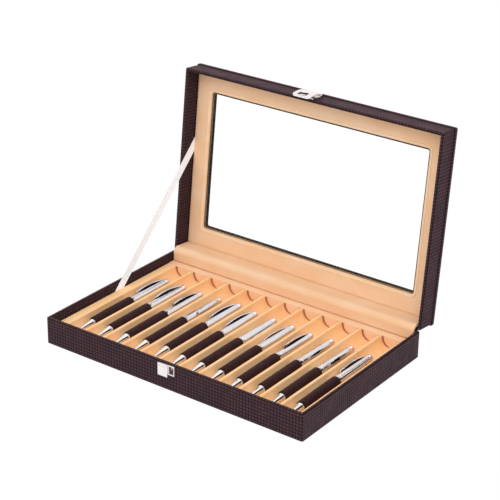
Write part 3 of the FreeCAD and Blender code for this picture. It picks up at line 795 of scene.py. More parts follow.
@dataclass(frozen=True)
class Velvet:
    """Short-pile velvet, brushed a little lighter and darker in soft patches."""

    name: str
    colour: Colour
    shade: Colour
    patch_scale: float = 22.0
    patch_stretch: tuple[float, float, float] = (1.0, 2.2, 2.2)
    pile_scale: float = 900.0
    pile_depth: float = 0.12 * MM
    pile_share: float = 0.45
    gloss: float = 0.12
    sheen: float = 0.12
    sheen_tint: Colour = tone(255, 236, 212)

    def build(self) -> bpy.types.Material:
        """Makes the material.

        Returns:
            The material.
        """
        sheet = Shading(self.name)
        brushed = sheet.noise(sheet.mapped(sheet.place, Scale=self.patch_stretch), self.patch_scale, 3.0)
        pile = sheet.noise(sheet.place, self.pile_scale, 4.0)
        colour = sheet.blend(sheet.soften(brushed, 0.3, 0.72), self.shade, self.colour)
        specks = sheet.soften(pile, 0.3, 0.7, 0.0, self.pile_share)
        sheet.surface(
            Base_Color=sheet.blend(specks, colour, self.shade),
            Roughness=0.92,
            Specular_IOR_Level=self.gloss,
            Sheen_Weight=self.sheen,
            Sheen_Roughness=0.45,
            Sheen_Tint=self.sheen_tint,
            Normal=sheet.bump(pile, self.pile_depth),
        )
        return sheet.material


@dataclass(frozen=True)
class TurnedMetal:
    """Plated metal with a faint brushing and soft patches of duller plating."""

    name: str
    colour: Colour
    roughness: float
    brushing: float = 0.0002 * MM
    brush_scale: tuple[float, float, float] = (900.0, 40.0, 900.0)
    patch_scale: float = 90.0
    worn_factor: float = 0.9
    worn_share: float = 0.6

    def build(self) -> bpy.types.Material:
        """Makes the material.

        Returns:
            The material.
        """
        sheet = Shading(self.name)
        lines = sheet.noise(sheet.mapped(sheet.place, Scale=self.brush_scale), 1.0)
        dull = sheet.noise(sheet.place, self.patch_scale)
        share = sheet.soften(dull, 0.4, 0.75, 0.0, self.worn_share)
        sheet.surface(
            Base_Color=sheet.blend(share, self.colour, scaled(self.colour, self.worn_factor)),
            Metallic=1.0,
            Roughness=sheet.soften(dull, 0.3, 0.8, self.roughness - 0.03, self.roughness + 0.07),
            Normal=sheet.bump(lines, self.brushing),
        )
        return sheet.material


@dataclass(frozen=True)
class AgedFlange:
    """The catch's plate: bright along its edge and painted darker inside it, in mottled patches of
    painted shade.
    """

    name: str = "AgedFlange"
    colour: Colour = tone(236, 226, 226)
    painted_shade: Colour = tone(72, 62, 60)
    middle: tuple[float, float] = (4.9 * MM, 24.4 * MM)
    half: tuple[float, float] = (3.0 * MM, 4.3 * MM)
    fade: float = 0.5 * MM
    mottle_scale: float = 620.0
    bright_roughness: float = 0.16
    shade_roughness: float = 0.42

    def build(self) -> bpy.types.Material:
        """Makes the material.

        Returns:
            The material.
        """
        sheet = Shading(self.name)
        along = sheet.split(sheet.place)
        share = sheet.soften(sheet.noise(sheet.place, self.mottle_scale, 3.0), 0.22, 0.5)
        # The middle of the plate, round the rivets, is painted darker in mottled patches: painted shade.
        for axis, middle, half in zip((0, 2), self.middle, self.half):
            away = sheet.math("ABSOLUTE", sheet.math("SUBTRACT", along[axis], middle))
            inside = sheet.soften(away, half - self.fade, half + self.fade, 1.0, 0.0)
            share = sheet.math("MULTIPLY", inside, share)
        sheet.surface(
            Base_Color=sheet.blend(share, self.colour, self.painted_shade),
            Metallic=1.0,
            Roughness=sheet.choose(share, self.bright_roughness, self.shade_roughness),
        )
        return sheet.material


@dataclass(frozen=True)
class BarrelLacquer:
    """Dark, nearly matt lacquer with a faint mottle."""

    name: str = "BarrelLacquer"
    colour: Colour = tone(48, 26, 28)
    mottle: Colour = tone(62, 35, 36)
    mottle_scale: float = 320.0
    grain_scale: float = 1900.0
    grain_depth: float = 0.03 * MM
    gloss: float = 0.08

    def build(self) -> bpy.types.Material:
        """Makes the material.

        Returns:
            The material.
        """
        sheet = Shading(self.name)
        cloud = sheet.noise(sheet.place, self.mottle_scale, 4.0)
        sheet.surface(
            Base_Color=sheet.blend(sheet.soften(cloud, 0.42, 0.75), self.colour, self.mottle),
            Roughness=sheet.soften(cloud, 0.3, 0.7, 0.4, 0.5),
            Specular_IOR_Level=self.gloss,
            Normal=sheet.bump(sheet.noise(sheet.place, self.grain_scale), self.grain_depth),
        )
        return sheet.material


@dataclass(frozen=True)
class ClearGlass:
    """Thin window glass that lets light through to what lies behind it."""

    name: str = "WindowGlass"
    film_scale: float = 60.0
    film_roughness: float = 0.02
    bending: float = 1.12
    gloss: float = 0.1

    def build(self) -> bpy.types.Material:
        """Makes the material, which shadows pass through.

        Returns:
            The material.
        """
        sheet = Shading(self.name)
        film = sheet.noise(sheet.place, self.film_scale)
        body = sheet.surface(
            Base_Color=WHITE,
            Roughness=sheet.soften(film, 0.4, 0.9, 0.0, self.film_roughness),
            IOR=self.bending,
            Specular_IOR_Level=self.gloss,
            Transmission_Weight=1.0,
        )
        clear = sheet.add("ShaderNodeBsdfTransparent").outputs[0]
        sheet.mix_surfaces(sheet.add("ShaderNodeLightPath").outputs["Is Shadow Ray"], body, clear)
        return sheet.material


@dataclass(frozen=True)
class SatinRibbon:
    """White satin ribbon with a painted glow that lifts it to white: fine ribs across it, on the ribbon's
    own map.
    """

    name: str = "SatinRibbon"
    colour: Colour = tone(246, 251, 255)
    streak: Colour = tone(240, 246, 250)
    streak_scale: tuple[float, float, float] = (900.0, 60.0, 1.0)
    streak_share: float = 0.3
    rib: float = 0.5 * MM
    rib_depth: float = 0.01 * MM
    glow: Colour = tone(226, 240, 255)
    glow_strength: float = 0.2

    def build(self) -> bpy.types.Material:
        """Makes the material.

        Returns:
            The material.
        """
        sheet = Shading(self.name)
        map_place = sheet.places["UV"]
        ribs = sheet.math("PINGPONG", sheet.math("DIVIDE", sheet.split(map_place)[1], self.rib), 0.5)
        streaks = sheet.noise(sheet.mapped(map_place, Scale=self.streak_scale), 1.0)
        share = sheet.soften(streaks, 0.3, 0.8, 0.0, self.streak_share)
        sheet.surface(
            Base_Color=sheet.blend(share, self.colour, self.streak),
            Roughness=0.45,
            # The emission is a painted glow that lifts the ribbon to white; the ribbon is no lamp.
            Emission_Color=self.glow,
            Emission_Strength=self.glow_strength,
            Sheen_Weight=0.8,
            Sheen_Roughness=0.6,
            Sheen_Tint=WHITE,
            Specular_IOR_Level=0.5,
            Normal=sheet.bump(ribs, self.rib_depth),
        )
        return sheet.material


@dataclass(frozen=True)
class Felt:
    """Matted felt with loose fibres."""

    name: str = "BottomFelt"
    colour: Colour = tone(58, 44, 42)
    fibre_scale: float = 900.0
    fibre_depth: float = 0.25 * MM
    light_factor: float = 1.7

    def build(self) -> bpy.types.Material:
        """Makes the material.

        Returns:
            The material.
        """
        sheet = Shading(self.name)
        fibres = sheet.noise(sheet.place, self.fibre_scale, 5.0)
        light = scaled(self.colour, self.light_factor)
        sheet.surface(
            Base_Color=sheet.blend(sheet.soften(fibres, 0.35, 0.75), self.colour, light),
            Roughness=0.95,
            Specular_IOR_Level=0.1,
            Normal=sheet.bump(fibres, self.fibre_depth),
        )
        return sheet.material


@dataclass(frozen=True)
class FibreBoard:
    """Pressed fibre board with fine specks."""

    name: str = "FibreBoard"
    colour: Colour = tone(172, 140, 104)
    speck_scale: float = 1400.0
    speck_depth: float = 0.08 * MM
    dark_factor: float = 0.6

    def build(self) -> bpy.types.Material:
        """Makes the material.

        Returns:
            The material.
        """
        sheet = Shading(self.name)
        specks = sheet.noise(sheet.place, self.speck_scale, 4.0)
        dark = scaled(self.colour, self.dark_factor)
        sheet.surface(
            Base_Color=sheet.blend(sheet.soften(specks, 0.5, 0.8), self.colour, dark),
            Roughness=0.85,
            Normal=sheet.bump(specks, self.speck_depth),
        )
        return sheet.material


@dataclass(frozen=True)
class StudioFloor:
    """White floor that is seen as the background and keeps a faint shadow."""

    name: str = "StudioFloor"
    colour: Colour = (0.92, 0.92, 0.92, 1.0)
    glow_strength: float = 1.02
    seen_share: float = 0.95

    def build(self) -> bpy.types.Material:
        """Makes the material, which glows for straight rays, in metal and through glass.

        Returns:
            The material.
        """
        sheet = Shading(self.name)
        matt = sheet.add("ShaderNodeBsdfDiffuse", {"Color": self.colour}).outputs[0]
        light = {"Color": WHITE, "Strength": self.glow_strength}
        glow = sheet.add("ShaderNodeEmission", light).outputs[0]
        rays = sheet.add("ShaderNodeLightPath").outputs
        behind = sheet.math("MAXIMUM", rays["Is Glossy Ray"], rays["Is Transmission Ray"])
        seen = sheet.math("MAXIMUM", rays["Is Camera Ray"], behind)
        sheet.mix_surfaces(sheet.math("MULTIPLY", seen, self.seen_share), matt, glow)
        return sheet.material


@dataclass(frozen=True)
class BlackCard:
    """Matt black card of the studio."""

    name: str = "BlackCard"
    colour: Colour = tone(12, 12, 12)

    def build(self) -> bpy.types.Material:
        """Makes the material.

        Returns:
            The material.
        """
        sheet = Shading(self.name)
        sheet.surface(Base_Color=self.colour, Roughness=1.0, Specular_IOR_Level=0.0)
        return sheet.material


class Palette:
    """Every finish of the chest, built once."""

    def __init__(self) -> None:
        """Builds the materials."""
        self.base_leatherette = WovenLeatherette("BaseLeatherette").build()
        self.lid_leatherette = WovenLeatherette("LidLeatherette", turned_with_lid=True).build()
        self.velvet = Velvet("PeachVelvet", tone(246, 209, 176), tone(242, 197, 154)).build()
        # The troughs take a more saturated orange copy of the velvet: painted bounce light, for the warm
        # light that the trough walls throw on each other.
        self.trough_bounce_velvet = Velvet("TroughVelvet", tone(255, 213, 164), tone(254, 202, 146)).build()
        # The piping takes a lighter copy of the velvet: a painted highlight along the cord, which is real
        # geometry.
        self.piping = Velvet("PipingVelvet", tone(252, 232, 204), tone(246, 214, 176), 60.0).build()
        self.nickel = TurnedMetal(
            "ClaspNickel", tone(247, 240, 240), 0.16, 0.01 * MM, (300.0, 300.0, 40.0)
        ).build()
        self.flange = AgedFlange().build()
        self.polished = TurnedMetal("ConeChrome", tone(246, 244, 247), 0.07).build()
        self.chrome = TurnedMetal("PenChrome", tone(226, 224, 229), 0.13).build()
        self.lacquer = BarrelLacquer().build()
        # Near-black, for the painted-shade fin under each clip and for the black strip along the window's
        # lip.
        self.near_black = BarrelLacquer("ClipSpring", tone(14, 12, 14), tone(22, 18, 20)).build()
        self.glass = ClearGlass().build()
        self.ribbon = SatinRibbon().build()
        self.felt = Felt().build()
        self.board = FibreBoard().build()
        # Dark brown for the arcs of painted shade where each ridge meets the rail.
        self.shade_card = FibreBoard("DividerCard", tone(176, 104, 60)).build()


# ---------------------------------------------------------------- sub-assemblies


@dataclass
class SubAssembly:
    """What every part of the chest can do: take finishes and hang its pieces on their bodies."""

    palette: Palette

    def dress(
        self,
        piece: bpy.types.Object,
        material: bpy.types.Material,
        slot: Slot,
        replaced: Iterable[str] = (),
    ) -> None:
        """Gives a piece its finish and hides the frame nodes that it stands for.

        Args:
            piece: The finished mesh.
            material: Its finish.
            slot: The record's slot for its finish; not used.
            replaced: The nodes that it stands for.
        """
        piece.data.materials.clear()
        piece.data.materials.append(material)
        if replaced:
            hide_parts(*replaced)
        log.info("%s wears %s: %d faces", piece.name, material.name, len(piece.data.polygons))

    def settle(
        self,
        piece: bpy.types.Object,
        material: bpy.types.Material,
        body: str,
        slot: Slot,
        replaced: Iterable[str] = (),
    ) -> None:
        """Dresses a piece and hangs it on its body.

        Args:
            piece: The finished mesh.
            material: Its finish.
            body: The body that it rides on.
            slot: The record's slot for its finish.
            replaced: The nodes that it stands for.
        """
        self.dress(piece, material, slot, replaced)
        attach(piece, body)

    def bend_with_lid(self, piece: bpy.types.Object, start: Vector, end: Vector) -> None:
        """Bakes a dressed cloth piece's place into its mesh; it is not set up to turn with the lid.

        Args:
            piece: The dressed piece.
            start: Where it begins to leave the base; not used.
            end: Where it has joined the lid; not used.
        """
        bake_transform(piece)

    def repaint(self, material: bpy.types.Material, *nodes: str) -> None:
        """Gives frame nodes a finish.

        Args:
            material: The finish.
            nodes: The nodes' names.
        """
        for name in nodes:
            for place in frame["nodes"][name].material_slots:
                place.material = material
            log.info("%s wears %s", name, material.name)


@dataclass
class ChestShell(SubAssembly):
    """The boards of the base and lid, their leatherette covering and the felt below."""

    boards: tuple[str, ...] = (
        "base_bottom_board", "base_front_wall", "base_back_wall", "base_side_walls",
        "lid_front_wall", "lid_back_wall", "lid_side_walls", "lid_frame_board",
    )

    def build(self) -> None:
        """Dresses the shell."""
        self.repaint(self.palette.base_leatherette, "base_covering")
        self.repaint(self.palette.lid_leatherette, "lid_covering")
        self.repaint(self.palette.felt, "base_felt")
        self.repaint(self.palette.board, *self.boards)


@dataclass
class PenTray(SubAssembly):
    """The velvet-covered tray: a row of round troughs, a plain strip at each side and a rail behind."""

    slots: int = len(DIVIDERS) + 1
    pitch: float = Box.of(DIVIDERS[1]).low.x - Box.of(DIVIDERS[0]).low.x
    top: float = STRIPS.high.z
    bottom: float = STRIPS.low.z
    front: float = STRIPS.low.y
    rear: float = STRIPS.high.y
    half_width: float = STRIPS.high.x
    rail_rear: float = RAIL.high.y
    rail_rounding: float = 1.0 * MM
    rail_steps: int = 90
    ridge: float = 3.65 * MM
    shoulder: float = 1.5 * MM
    arc_height: float = 18.9 * MM
    trough_steps: int = 36
    end_reach: float = 1.6 * MM
    end_drop: float = 0.3 * MM
    end_gap: float = 1.25 * MM
    end_gap_foot: float = 0.6 * MM
    end_gap_rise: float = 2.5 * MM
    strip_rounding: float = 0.6 * MM
    softness: float = 0.12 * MM
    # Sizes of the dark arcs of painted shade where each ridge meets the rail.
    crease_shade_width: float = 1.9 * MM
    crease_shade_thickness: float = 0.25 * MM
    crease_shade_tuck: float = 0.1 * MM
    crease_shade_taper: float = 0.65
    crease_shade_sweep: float = 80.0
    crease_shade_lift: float = 0.5 * MM
    crease_shade_lift_fade: float = 8.0
    crease_shade_steps: int = 14

    @property
    def radius(self) -> float:
        """The radius of a trough."""
        return (self.pitch - self.ridge) / 2

    @property
    def first(self) -> float:
        """The middle of the first trough."""
        return -(self.slots - 1) / 2 * self.pitch

    def trough_profile(self) -> Line:
        """Draws the line over one trough.

        Returns:
            (x, z) points from the middle of one ridge to the next.
        """
        left = [(-self.pitch / 2, self.top)]
        left += arc((-self.radius - self.shoulder, self.top - self.shoulder), self.shoulder, 90, 0, 6)
        left += arc((0.0, self.arc_height), self.radius, 180, 270, 12)
        return left + [(-x, z) for x, z in reversed(left[:-1])]

    def one_trough(self) -> bpy.types.Object:
        """Makes the first trough, whose rear end is drawn in a little.

        Returns:
            The trough's skin, open at its two sides.
        """
        half = self.pitch / 2
        loop = self.trough_profile() + [(half, self.bottom), (-half, self.bottom)]
        rings = []
        for y in steps_between(self.front, self.rear - self.end_reach, self.trough_steps) + [self.rear]:
            drop, gap = (self.end_drop, self.end_gap) if y == self.rear else (0.0, 0.0)
            ring = []
            for x, z in loop:
                rise = (z - self.bottom - self.end_gap_foot) / self.end_gap_rise
                back = gap * min(1.0, max(0.0, rise))
                ring.append(Vector((self.first + x, y - back, max(z - drop, self.bottom))))
            rings.append(ring)
        draft = loft(rings)
        sides = {round(self.first + side, 6) for side in (-half, half)}
        places = [{round(draft.points[index].x, 6) for index in face} for face in draft.faces]
        draft.faces = [
            face for face, along in zip(draft.faces, places) if len(along) > 1 or not along <= sides
        ]
        return draft.make("tray_troughs", outward=False)

    def troughs(self) -> None:
        """Repeats the trough, closes its sides and wraps it in velvet."""
        piece = repeat_in_row(
            self.one_trough(), self.palette.trough_bounce_velvet, self.slots, self.pitch, weld=True
        )
        self.add_side_strips(piece.data)
        self.pull_softly(piece.data)
        shade_smooth(piece.data)
        nodes = [*DIVIDERS, "tray_side_strips"]
        self.settle(piece, self.palette.trough_bounce_velvet, Body.BASE.value, Slot.VELVET, nodes)

    def add_side_strips(self, mesh: bpy.types.Mesh) -> None:
        """Carries the open sides out to the walls and closes them, with a rounded upper edge.

        Args:
            mesh: The row of troughs.
        """
        inner, rounding = self.slots * self.pitch / 2, self.strip_rounding
        with editing(mesh) as edit:
            for sign in (-1, 1):
                edges = [e for e in edit.edges if e.is_boundary and e.verts[0].co.x * sign > inner - WELD]
                for x, drop in ((self.half_width - rounding, 0.0), (self.half_width, rounding)):
                    edges = self.carry_out(edit, edges, sign * x, drop)
                bmesh.ops.contextual_create(edit, geom=edges)
            bmesh.ops.recalc_face_normals(edit, faces=edit.faces)

    def carry_out(
        self, edit: bmesh.types.BMesh, edges: list[bmesh.types.BMEdge], x: float, drop: float
    ) -> list[bmesh.types.BMEdge]:
        """Carries open edges outwards, one face after another, so that their order is always the same.

        Args:
            edit: The mesh as it is edited.
            edges: The open edges.
            x: Where they are carried to.
            drop: How far the upper ones sink on the way.

        Returns:
            The new open edges.
        """
        copies = {}
        for vert in (vert for edge in edges for vert in edge.verts):
            if vert not in copies:
                sunk = drop if vert.co.z > self.arc_height else 0.0
                copies[vert] = edit.verts.new((x, vert.co.y, vert.co.z - sunk))
        carried = []
        for edge in edges:
            low, high = edge.verts
            edit.faces.new((low, high, copies[high], copies[low]))
            carried.append(edit.edges.get((copies[low], copies[high])))
        return carried

    def pull_softly(self, mesh: bpy.types.Mesh) -> None:
        """Lets the velvet's upper skin wander a little, as glued cloth does.

        Args:
            mesh: The troughs and side strips.
        """
        for vert in mesh.vertices:
            if vert.co.z > self.bottom + WELD and self.front < vert.co.y < self.rear - WELD:
                lift = ripple(vert.co, size=30 * MM, seed=3.1)
                lift += 0.5 * ripple(vert.co, size=9 * MM, seed=7.9)
                vert.co.z += (lift - 0.6) * self.softness

    def ridge_end_edges(self) -> None:
        """Makes thin dark brown arcs against the rail behind each ridge's end: painted shade in the
        crease between ridge and rail.
        """
        draft = Draft()
        behind, outer = self.rear - WELD, self.radius + self.crease_shade_tuck
        low = self.rear - self.crease_shade_thickness
        for sign in (-1, 1):
            rings = []
            for share in steps_between(0, 1, self.crease_shade_steps):
                inner = self.radius - self.crease_shade_width * (1 - self.crease_shade_taper * share)
                angle = math.radians(180 + self.crease_shade_sweep * share)
                lift = max(0.0, self.crease_shade_lift * (1 - self.crease_shade_lift_fade * share))
                rings.append([
                    Vector((
                        self.first - sign * away * math.cos(angle),
                        y,
                        self.arc_height + away * math.sin(angle) + lift,
                    ))
                    for away, y in ((outer, low), (inner, low), (inner, behind), (outer, behind))
                ])
            draft.add(loft(rings))
        piece = repeat_in_row(
            draft.make("ridge_end_edges"), self.palette.shade_card, self.slots, self.pitch
        )
        self.settle(piece, self.palette.shade_card, Body.BASE.value, Slot.BOARD)

    def rail(self) -> None:
        """Makes the rail behind the troughs, in one velvet-covered length."""
        rounding = self.rail_rounding
        loop = [(self.rear, self.bottom)]
        loop += arc((self.rear + rounding, self.top - rounding), rounding, 180, 90, 5)
        loop += arc((self.rail_rear - rounding, self.top - rounding), rounding, 90, 0, 5)
        loop += [(self.rail_rear, self.bottom)]
        rings = []
        for x in steps_between(-self.half_width, self.half_width, self.rail_steps):
            lift = (ripple(Vector((x, 0, 0)), size=18 * MM, seed=5.2) - 0.7) * self.softness
            rings.append([Vector((x, y, z + (lift if z > self.arc_height else 0.0))) for y, z in loop])
        piece = loft(rings).make("tray_rail")
        self.settle(piece, self.palette.velvet, Body.BASE.value, Slot.VELVET, ["tray_rear_rail"])

    def build(self) -> None:
        """Makes the tray."""
        self.repaint(self.palette.velvet, "tray_floor")
        self.troughs()
        self.ridge_end_edges()
        self.rail()


@dataclass
class LidWindow(SubAssembly):
    """The lid's velvet panel, with piping round its window, and the glass."""

    half_window: float = 145.0 * MM
    window_rear: float = 29.0 * MM
    window_front: float = 195.0 * MM
    window_corner: float = 3.0 * MM
    corner_steps: int = 6
    side_steps: int = 24
    half_panel: float = PANEL.high.x
    panel_rear: float = -PANEL.high.y
    panel_front: float = -PANEL.low.y
    face: float = PANEL.low.z
    gap: float = 0.05 * MM
    rebate: float = 4.9 * MM
    bevel: float = 1.2 * MM
    edge: float = 0.8 * MM
    softness: float = 0.12 * MM
    piping_radius: float = 0.7 * MM
    piping_inset: float = 2.8 * MM
    piping_lift: float = 0.12 * MM
    piping_sides: int = 10
    lip: float = 2.0 * MM
    strip_front: float = 24.25 * MM
    strip_back: float = 27.7 * MM
    strip_width: float = 0.35 * MM

    def window_line(self, margin: float) -> list[tuple[Vector, Vector]]:
        """Draws the line round the window, outside it by a margin.

        Args:
            margin: How far outside the window's edge the line lies.

        Returns:
            (point, outward direction) pairs in (x, reach), with several steps along each side.
        """
        radius = self.window_corner
        low, high = self.window_rear + radius, self.window_front - radius
        side = self.half_window - radius
        pairs: list[tuple[Vector, Vector]] = []
        corners = [((side, low), -90), ((side, high), 0), ((-side, high), 90), ((-side, low), 180)]
        for index, (centre, start) in enumerate(corners):
            middle = Vector(centre)
            for turn in steps_between(start, start + 90, self.corner_steps):
                outward = Vector((math.cos(math.radians(turn)), math.sin(math.radians(turn))))
                pairs.append((middle + outward * (radius + margin), outward))
            following = Vector(corners[(index + 1) % len(corners)][0])
            outward = pairs[-1][1]
            for share in steps_between(0, 1, self.side_steps)[1:-1]:
                pairs.append((middle.lerp(following, share) + outward * (radius + margin), outward))
        return pairs

    def panel_edge(self, place: Vector, outward: Vector) -> Vector:
        """Finds where a line outwards from the window meets the panel's outer edge, corners kept.

        Args:
            place: The line's start, in (x, reach).
            outward: Its direction.

        Returns:
            The meeting point.
        """
        middle = (self.panel_rear + self.panel_front) / 2
        half = Vector((self.half_panel, (self.panel_front - self.panel_rear) / 2))
        if abs(abs(outward.x) - abs(outward.y)) < 0.01:
            return Vector((math.copysign(half.x, outward.x), middle + math.copysign(half.y, outward.y)))
        start = Vector((place.x, place.y - middle))
        reach = min(
            (half[axis] - start[axis] * math.copysign(1, outward[axis])) / abs(outward[axis])
            for axis in range(2) if abs(outward[axis]) > 1e-6
        )
        return place + outward * reach

    def panel_section(self, width: float) -> Line:
        """Draws the panel's section from the window outwards.

        Args:
            width: How wide the panel is there.

        Returns:
            (distance from the window, depth) points, round the section.
        """
        face, bevel, edge = self.face, self.bevel, self.edge
        back, glass_face = PANEL.high.z - self.gap, GLASS.low.z - self.gap
        section = [(0.0, glass_face), (0.0, face + bevel)]
        section += [
            (bevel - bevel * math.cos(angle), face + bevel - bevel * math.sin(angle))
            for angle in steps_between(QUARTER / 5, QUARTER, 4)
        ]
        section += [(away, face) for away in steps_between(bevel, width - edge, 8)[1:]]
        section += [(width - edge * 0.3, face + edge * 0.3), (width, face + edge)]
        return section + [(width, back), (self.rebate, back), (self.rebate, glass_face)]

    def panel(self) -> None:
        """Makes the velvet-covered panel that frames the window, as one sheet with soft edges."""
        rings = []
        for place, outward in self.window_line(0.0):
            rim = self.panel_edge(place, outward)
            width = (rim - place).length
            way = (rim - place) / width
            ring = []
            for away, depth in self.panel_section(width):
                flat = place + way * away
                point = Vector((flat.x, -flat.y, depth))
                if depth < self.face + WELD:
                    point.z += (ripple(point, size=26 * MM, seed=2.4) + 0.6) * self.softness
                ring.append(LID_PLACE.matrix() @ point)
            rings.append(ring)
        piece = loft(rings, looped=True).make("window_panel")
        self.settle(piece, self.palette.velvet, Body.LID.value, Slot.VELVET, ["lid_velvet_panel"])

    def piping(self) -> None:
        """Makes the thin corded piping that follows the window's edge, in a lighter velvet that is a
        painted highlight along the cord.
        """
        depth = self.face + self.piping_lift
        points = [LID_PLACE.point(*place, depth) for place, _ in self.window_line(self.piping_inset)]
        mesh = bpy.data.meshes.new("window_piping")
        count = len(points)
        mesh.from_pydata([tuple(p) for p in points], [(i, (i + 1) % count) for i in range(count)], [])
        piece = linked("window_piping", mesh)
        recipe = Recipe("Piping", Radius=self.piping_radius, Sides=self.piping_sides)
        path = recipe.add("GeometryNodeMeshToCurve", Mesh=recipe.given["Geometry"])
        ring = recipe.add(
            "GeometryNodeCurvePrimitiveCircle",
            Radius=recipe.given["Radius"],
            Resolution=recipe.given["Sides"],
        )
        tube = recipe.add("GeometryNodeCurveToMesh", Curve=path, Profile_Curve=ring)
        recipe.run(piece, tube, self.palette.piping)
        shade_smooth(piece.data)
        self.settle(piece, self.palette.piping, Body.LID.value, Slot.VELVET)

    def lip_black_strip(self) -> None:
        """Makes a black strip along the window's lip, behind the glass."""
        front, back, inner = self.strip_front, self.strip_back, -self.strip_width
        section = ((0.0, front), (inner, front), (inner, back), (0.0, back))
        rings = [
            [LID_PLACE.point(*(place + outward * margin), depth) for margin, depth in section]
            for place, outward in self.window_line(-self.lip)
        ]
        piece = loft(rings, looped=True).make("window_glazing_strip")
        self.settle(piece, self.palette.near_black, Body.LID.value, Slot.LEATHERETTE)

    def build(self) -> None:
        """Makes the panel and its piping and glazes the window."""
        self.panel()
        self.piping()
        self.lip_black_strip()
        self.repaint(self.palette.glass, "lid_glass")


@dataclass
class HingeCloth(SubAssembly):
    """The cloth hinge: a velvet lining inside and a leatherette strip outside, folded at the hinge."""

    inner: float = 3.7 * MM
    outer: float = LID_PLACE.hinge_y - LINING.low.y
    half_width: float = LINING.high.x
    foot: float = LINING.low.z + 0.25 * MM
    reach: float = 19.6 * MM
    softness: float = 0.22 * MM
    end_rounding: float = 0.9 * MM
    end_taper: float = 2.5 * MM
    end_thinning: float = 0.35 * MM
    lining_steps: int = 110
    lining_turn: tuple[Vector, Vector] = (Vector((0, -7.0, 0)) * MM, Vector((0, 0.7, 6.5)) * MM)
    strip_half: float = BACK_STRIP.high.x
    strip_leg: float = LID_PLACE.hinge_z - BACK_STRIP.low.z
    strip_thickness: float = 0.6 * MM
    strip_gap: float = 0.02 * MM
    strip_fillet: float = 0.9 * MM
    strip_steps: int = 60
    strip_turn: tuple[Vector, Vector] = (Vector((0, 0.3, -1.6)) * MM, Vector((0, 1.6, -0.3)) * MM)

    def lining_face(self, radius: float, give: Callable[[float], float]) -> Line:
        """Draws the lining's line at a distance from the hinge line.

        Args:
            radius: The distance.
            give: Extra distance at a share of the way from foot to upper edge.

        Returns:
            (y, z) points from the foot, round the hinge line, to the upper edge in the lid.
        """
        hinge = Vector((LID_PLACE.hinge_y, LID_PLACE.hinge_z))
        turn = math.degrees(LID_PLACE.opening)
        heights = steps_between(self.foot, hinge.y, 3)
        line = [(hinge.x - radius - give(0.1 * step), z) for step, z in enumerate(heights)]
        for share in steps_between(0, 1, 16)[1:]:
            angle = math.radians(180 - turn * share)
            away = radius + give(0.3 + 0.3 * share)
            line.append((hinge.x + away * math.cos(angle), hinge.y + away * math.sin(angle)))
        for share in steps_between(0, 1, 5)[1:]:
            point = LID_PLACE.point(0, radius + give(0.6 + 0.4 * share), self.reach * share)
            line.append((point.y, point.z))
        return line

    def rounded_ends(self, line: Line) -> Line:
        """Turns the two ends of the lining's face in towards the hinge line.

        Args:
            line: (y, z) points of the face, from the foot to the upper edge.

        Returns:
            The line with three more points at each end, on a quarter round.
        """
        ends = []
        hinge = Vector((LID_PLACE.hinge_y, LID_PLACE.hinge_z))
        for first, second in ((line[0], line[1]), (line[-1], line[-2])):
            end, inward = Vector(first), (Vector(second) - Vector(first)).normalized()
            side = Vector((-inward.y, inward.x))
            if side.dot(hinge - end) < 0:
                side = -side
            centre = end + (inward + side) * self.end_rounding
            ends.append([
                tuple(centre - (side * math.sin(angle) + inward * math.cos(angle)) * self.end_rounding)
                for angle in steps_between(0, QUARTER, 3)
            ])
        return ends[0] + line[1:-1] + ends[1][::-1]

    def slack(self, x: float, share: float) -> float:
        """Finds how far the lining's face stands in from its full thickness.

        Args:
            x: The place along the hinge.
            share: The share of the way from the lining's foot to its upper edge.

        Returns:
            The distance, which is below zero where the face stands in.
        """
        inside = min(1.0, (self.half_width - abs(x)) / self.end_taper)
        wander = ripple(Vector((x, share * 0.06, 0)), size=24 * MM, seed=1.3)
        thinned = self.end_thinning * (1 - inside) ** 2
        return (wander - 0.9) * self.softness * math.sin(math.pi * share) - thinned

    def fold(
        self,
        piece: bpy.types.Object,
        material: bpy.types.Material,
        slot: Slot,
        node: str,
        turn: tuple[Vector, Vector],
    ) -> None:
        """Dresses a strip of cloth and bakes its place into its mesh; it is not set up to fold at the
        hinge.

        Args:
            piece: The strip.
            material: Its finish.
            slot: The record's slot for its finish.
            node: The node that it stands for.
            turn: Where its turn starts and ends, seen from the hinge line.
        """
        hinge = Vector((0, LID_PLACE.hinge_y, LID_PLACE.hinge_z))
        self.dress(piece, material, slot, [node])
        self.bend_with_lid(piece, hinge + turn[0], hinge + turn[1])

    def lining(self) -> None:
        """Makes the soft velvet lining, slack by a hair along its length."""
        back = self.lining_face(self.inner, lambda share: 0.0)
        rings = []
        for x in steps_between(-self.half_width, self.half_width, self.lining_steps):
            face = self.rounded_ends(self.lining_face(self.outer, partial(self.slack, x)))
            rings.append([Vector((x, y, z)) for y, z in face + back[::-1]])
        piece = loft(rings).make("hinge_roll")
        self.fold(piece, self.palette.velvet, Slot.VELVET, "hinge_lining", self.lining_turn)

    def strip_line(self, away: float) -> Line:
        """Draws the outer strip's line at a distance from the covering.

        Args:
            away: The distance.

        Returns:
            (y, z) points down the base's back, round the hinge and along the lid's back.
        """
        y, corner_z = LID_PLACE.hinge_y + away, LID_PLACE.hinge_z - away * math.tan(LID_PLACE.opening / 2)
        bend = LID_PLACE.hinge_z - corner_z + self.strip_fillet
        tail = [
            LID_PLACE.point(0, -away, height) for height in steps_between(bend, self.strip_leg, 2)
        ]
        corner = Vector((y, corner_z))
        start, end = Vector((y, corner_z - self.strip_fillet)), Vector((tail[0].y, tail[0].z))
        line = [(y, LID_PLACE.hinge_z - self.strip_leg), tuple(start)]
        for share in steps_between(0, 1, 6)[1:-1]:
            line.append(tuple(start.lerp(corner, share).lerp(corner.lerp(end, share), share)))
        return line + [(point.y, point.z) for point in tail]

